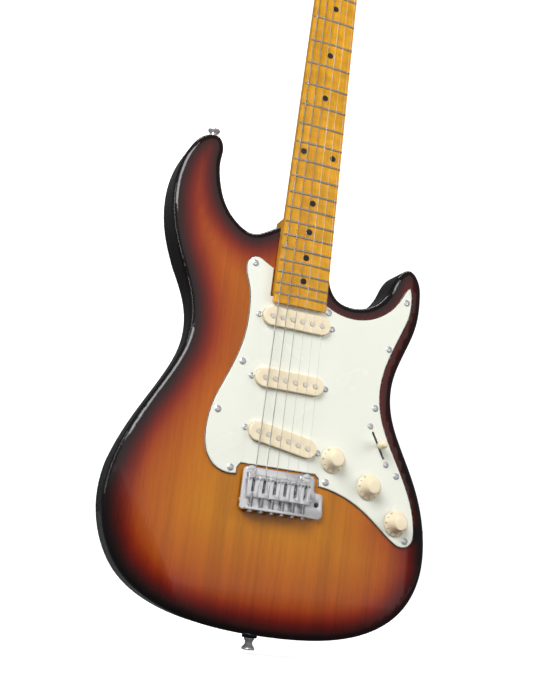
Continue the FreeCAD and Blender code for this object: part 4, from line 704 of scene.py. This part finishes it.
def balance_springs():
    """The three tremolo springs: close coils between a hook on the claw and a hook in the block."""
    low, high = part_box("tremolo_springs")
    y = 37.6
    routes = []
    for x in (-22, 0, 22):
        lower, upper = at(x, y, 8), at(x, y, 55)
        foot, head = low.z + 0.8 * MM, high.z - 0.8 * MM
        hook = [Vector((x * MM, lower.y - 5 * MM, foot)), Vector((x * MM, lower.y - 1.5 * MM, foot)),
                Vector((x * MM, lower.y, low.z + 2.2 * MM)), lower - Vector((0, 0, 4 * MM))]
        catch = [upper + Vector((0, 0, 4 * MM)), Vector((x * MM, upper.y, high.z - 2.2 * MM)),
                 Vector((x * MM, upper.y - 1.5 * MM, head)), Vector((x * MM, upper.y - 3 * MM, head))]
        routes.append(hook + coil(lower, upper, 2.6 * MM, 30) + catch)
    piece = wire("balance_springs", routes, 0.66, 8)
    finished(piece, None, "plated_steel", "tremolo_springs", angle=60)
    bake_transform(piece)


STRING_XS = [-26.25 + 10.5 * step for step in range(6)]
NUT_XS = [-17.5 + 7 * step for step in range(6)]
POSTS = [(-19 + 5.6 * step, 676 + 25.5 * step) for step in range(6)]
STRING_RADII = [0.58, 0.46, 0.33, 0.22, 0.165, 0.127]
TREE_Z = {2: 706.0, 3: 706.0, 4: 742.0, 5: 742.0}
HEAD_FACE, NUT_Z = -2.5, 649.35


def string_depth(x, z):
    return x * x / 482 - (14 - 2.5 * z / SCALE)


def string_route(number):
    """One string from its ball in the block, over saddle and nut, to its turns on the post."""
    x, nut_x, radius = STRING_XS[number], NUT_XS[number], STRING_RADII[number]
    post_x, post_z = POSTS[number]
    crest, around = string_depth(x, 0), 3 + radius
    route = [(x, 15, -10), (x, 13, -10), (x, 12.6, -10), (x, -5.0, -10), (x, -6.6, -9.8),
             (x, crest + 0.9, -1.3), (x, crest + 0.28, -0.4), (x, crest, 0.5)]
    for step in range(1, 66):
        share = step / 65
        place = (x + (nut_x - x) * share, 0, NUT_Z * share)
        route.append((place[0], string_depth(x, 0) + (string_depth(nut_x, NUT_Z) - crest) * share, place[2]))
    side = post_x + around
    if number in TREE_Z:
        share = (TREE_Z[number] - NUT_Z) / (post_z - NUT_Z)
        route.append((nut_x + share * (side - nut_x), HEAD_FACE - 4.2, TREE_Z[number]))
    turns = 3
    for step in range(turns * 16 + 1):
        angle = 2 * math.pi * step / 16
        rise = HEAD_FACE - 5.5 - 2.1 * radius * step / 16
        route.append((post_x + around * math.cos(angle), rise, post_z + around * math.sin(angle)))
    return [at(*place) for place in route]


def strings():
    """Six strings, the three lowest of them wound."""
    for number, radius in enumerate(STRING_RADII):
        swell = (2.1 / radius, 2.1 / radius, 1)
        piece = wire(f"string_{number + 1}", [string_route(number)], radius, 8, swell)
        finished(piece, None, "string_steel", "strings", angle=60, finish=WOUND if number < 3 else None)
        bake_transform(piece)


# --- the whole guitar ----------------------------------------------------------------------------

def dress_nodes():
    """Gives every node that is still shown its slot's finish."""
    for name, item in NODES.items():
        item.data.materials.clear()
        item.data.materials.append(FINISHES[SLOT_OF[name]])


SOFT_EDGES = {                                        # how wide each edge is rounded, in how many steps
    "nut": (0.5, 2), "neck_plate": (0.5, 2), "spring_cover": (0.7, 1), "pickup_covers": (0.9, 3),
    "bridge_plate": (0.5, 2), "saddles": (0.35, 2), "tremolo_block": (0.8, 2), "pivot_studs": (0.35, 2),
    "jack_plate": (0.4, 2), "string_trees": (0.3, 2), "tuner_housings": (1.2, 3),
    "tuner_bushings": (0.4, 2), "spring_claw": (0.3, 2), "strap_buttons": (0.5, 2),
    "strap_felts": (0.4, 2), "switch_lever": (0.25, 2), "switch_tip": (0.3, 2)}
PLAIN_COPIES = (
    "plate_screws", "long_wood_screws", "machine_screws", "strap_button_screws", "intonation_screws",
    "saddle_height_screws", "block_screws", "pole_magnets", "fret_markers", "hex_nuts")


def build():
    head_z = (652 + SADDLE_Z) * MM
    sunburst_body()
    pickguard_piece()
    softened("neck", 1.4, 3, lambda middle: middle.z > head_z, 50)
    softened("fretboard", 0)
    softened("frets", 0)
    for name, rounding in SOFT_EDGES.items():
        softened(name, *rounding)
    for name in PLAIN_COPIES:
        softened(name, 0)
    for number in range(1, 7):
        softened(f"tuner_button_{number}", 0.4)
        softened(f"tuner_post_{number}", 0.35)
    knobs()
    length_springs()
    balance_springs()
    strings()


# --- stage, lights and camera --------------------------------------------------------------------

def sheet_of_paper():
    """A pale floor that turns up into a wall behind."""
    bpy.ops.object.select_all(action="DESELECT")
    bpy.ops.mesh.primitive_plane_add(size=8, location=(0, 1.0, -0.004))
    floor = bpy.context.active_object
    floor.name = "paper_floor"
    bpy.ops.object.transform_apply(location=True, rotation=False, scale=False)
    editing(floor)
    bpy.ops.mesh.select_mode(type="EDGE")
    bpy.ops.mesh.select_all(action="DESELECT")
    mesh = bmesh.from_edit_mesh(floor.data)
    for edge in mesh.edges:
        edge.select = all(vert.co.y > 4.9 for vert in edge.verts)
    bmesh.update_edit_mesh(floor.data)
    bpy.ops.mesh.extrude_edges_move(TRANSFORM_OT_translate={"value": (0, 0, 7)})
    bpy.ops.object.mode_set(mode="OBJECT")
    paper, tree, shader = material("white_paper", Roughness=0.9, Emission_Color=(1.0, 1.0, 1.0))
    fibre = node(tree, "ShaderNodeTexNoise", Scale=60.0, Detail=3.0)
    join(tree, (tree.nodes.new("ShaderNodeTexCoord").outputs["Object"], fibre.inputs["Vector"]))
    lit = ramp(tree, fibre.outputs["Fac"], [(0.3, grey(0.92)), (0.7, grey(0.94))])
    seen = tree.nodes.new("ShaderNodeLightPath").outputs["Is Camera Ray"]
    near = node(tree, "ShaderNodeSeparateXYZ")
    join(tree, (tree.nodes.new("ShaderNodeTexCoord").outputs["Object"], near.inputs[0]))
    glow = node(tree, "ShaderNodeMapRange", From_Min=-3.0, From_Max=-0.7, To_Min=0.5, To_Max=0.0)
    join(tree, (near.outputs["Y"], glow.inputs["Value"]))
    strength = node(tree, "ShaderNodeMapRange", To_Max=0.72)
    join(tree, (mix(tree, seen, (0.07, 0.07, 0.07), lit), shader.inputs["Base Color"]),
         (seen, strength.inputs["Value"]), (glow.outputs["Result"], strength.inputs["To Min"]),
         (strength.outputs["Result"], shader.inputs["Emission Strength"]))
    floor.data.materials.append(paper)


def softbox(name, place, aim, size, power, mirrored=True):
    data = bpy.data.lights.new(name, "AREA")
    data.shape, data.size, data.size_y, data.energy = "RECTANGLE", size[0], size[1], power
    lamp = bpy.data.objects.new(name, data)
    bpy.context.scene.collection.objects.link(lamp)
    lamp.location = place
    lamp.rotation_euler = (Vector(aim) - Vector(place)).to_track_quat("-Z", "Y").to_euler()
    lamp.visible_glossy = mirrored


def studio():
    world = bpy.data.worlds.new("studio")
    bpy.context.scene.world = world
    world.use_nodes = True
    background = world.node_tree.nodes["Background"]
    background.inputs["Color"].default_value = (1, 1, 1, 1)
    tree = world.node_tree
    strength = node(tree, "ShaderNodeMapRange", To_Min=0.16, To_Max=1.0)
    join(tree, (tree.nodes.new("ShaderNodeLightPath").outputs["Is Camera Ray"], strength.inputs["Value"]),
         (strength.outputs["Result"], background.inputs["Strength"]))
    softbox("key_softbox", (-1.3, -1.5, 1.5), (0, 0, 0.35), (1.3, 1.3), 50)
    softbox("fill_softbox", (1.6, -1.3, 0.6), (0, 0, 0.2), (1.2, 1.6), 22, False)
    softbox("front_sheet", (-0.4, -3.4, 0.3), (0, 0, 0.3), (5.0, 4.4), 36)
    softbox("left_strip", (-1.6, -0.1, 0.3), (0, 0, 0.25), (0.12, 1.6), 5)
    softbox("wall_wash", (0, 1.4, 3.4), (0, 4.6, 0.8), (3.0, 1.0), 120)
    view = bpy.context.scene.view_settings
    view.view_transform = "Standard"
    view.look = "None"


def camera():
    data = bpy.data.cameras.new("view")
    data.sensor_fit, data.sensor_height, data.sensor_width, data.lens = "VERTICAL", 36, 36, 50.76
    data.clip_start, data.clip_end = 0.05, 50
    eye = bpy.data.objects.new("view", data)
    bpy.context.scene.collection.objects.link(eye)
    right = Vector((0.93114, -0.34396, 0.12113))
    up = Vector((-0.18794, -0.16798, 0.96771))
    back = -Vector((0.3125, 0.92384, 0.22105))
    turn = Matrix((right, up, back)).transposed().to_4x4()
    eye.matrix_world = Matrix.Translation((-0.32261, -0.90969, 0.06994)) @ turn
    bpy.context.scene.camera = eye


dress_nodes()
build()
sheet_of_paper()
studio()
camera()
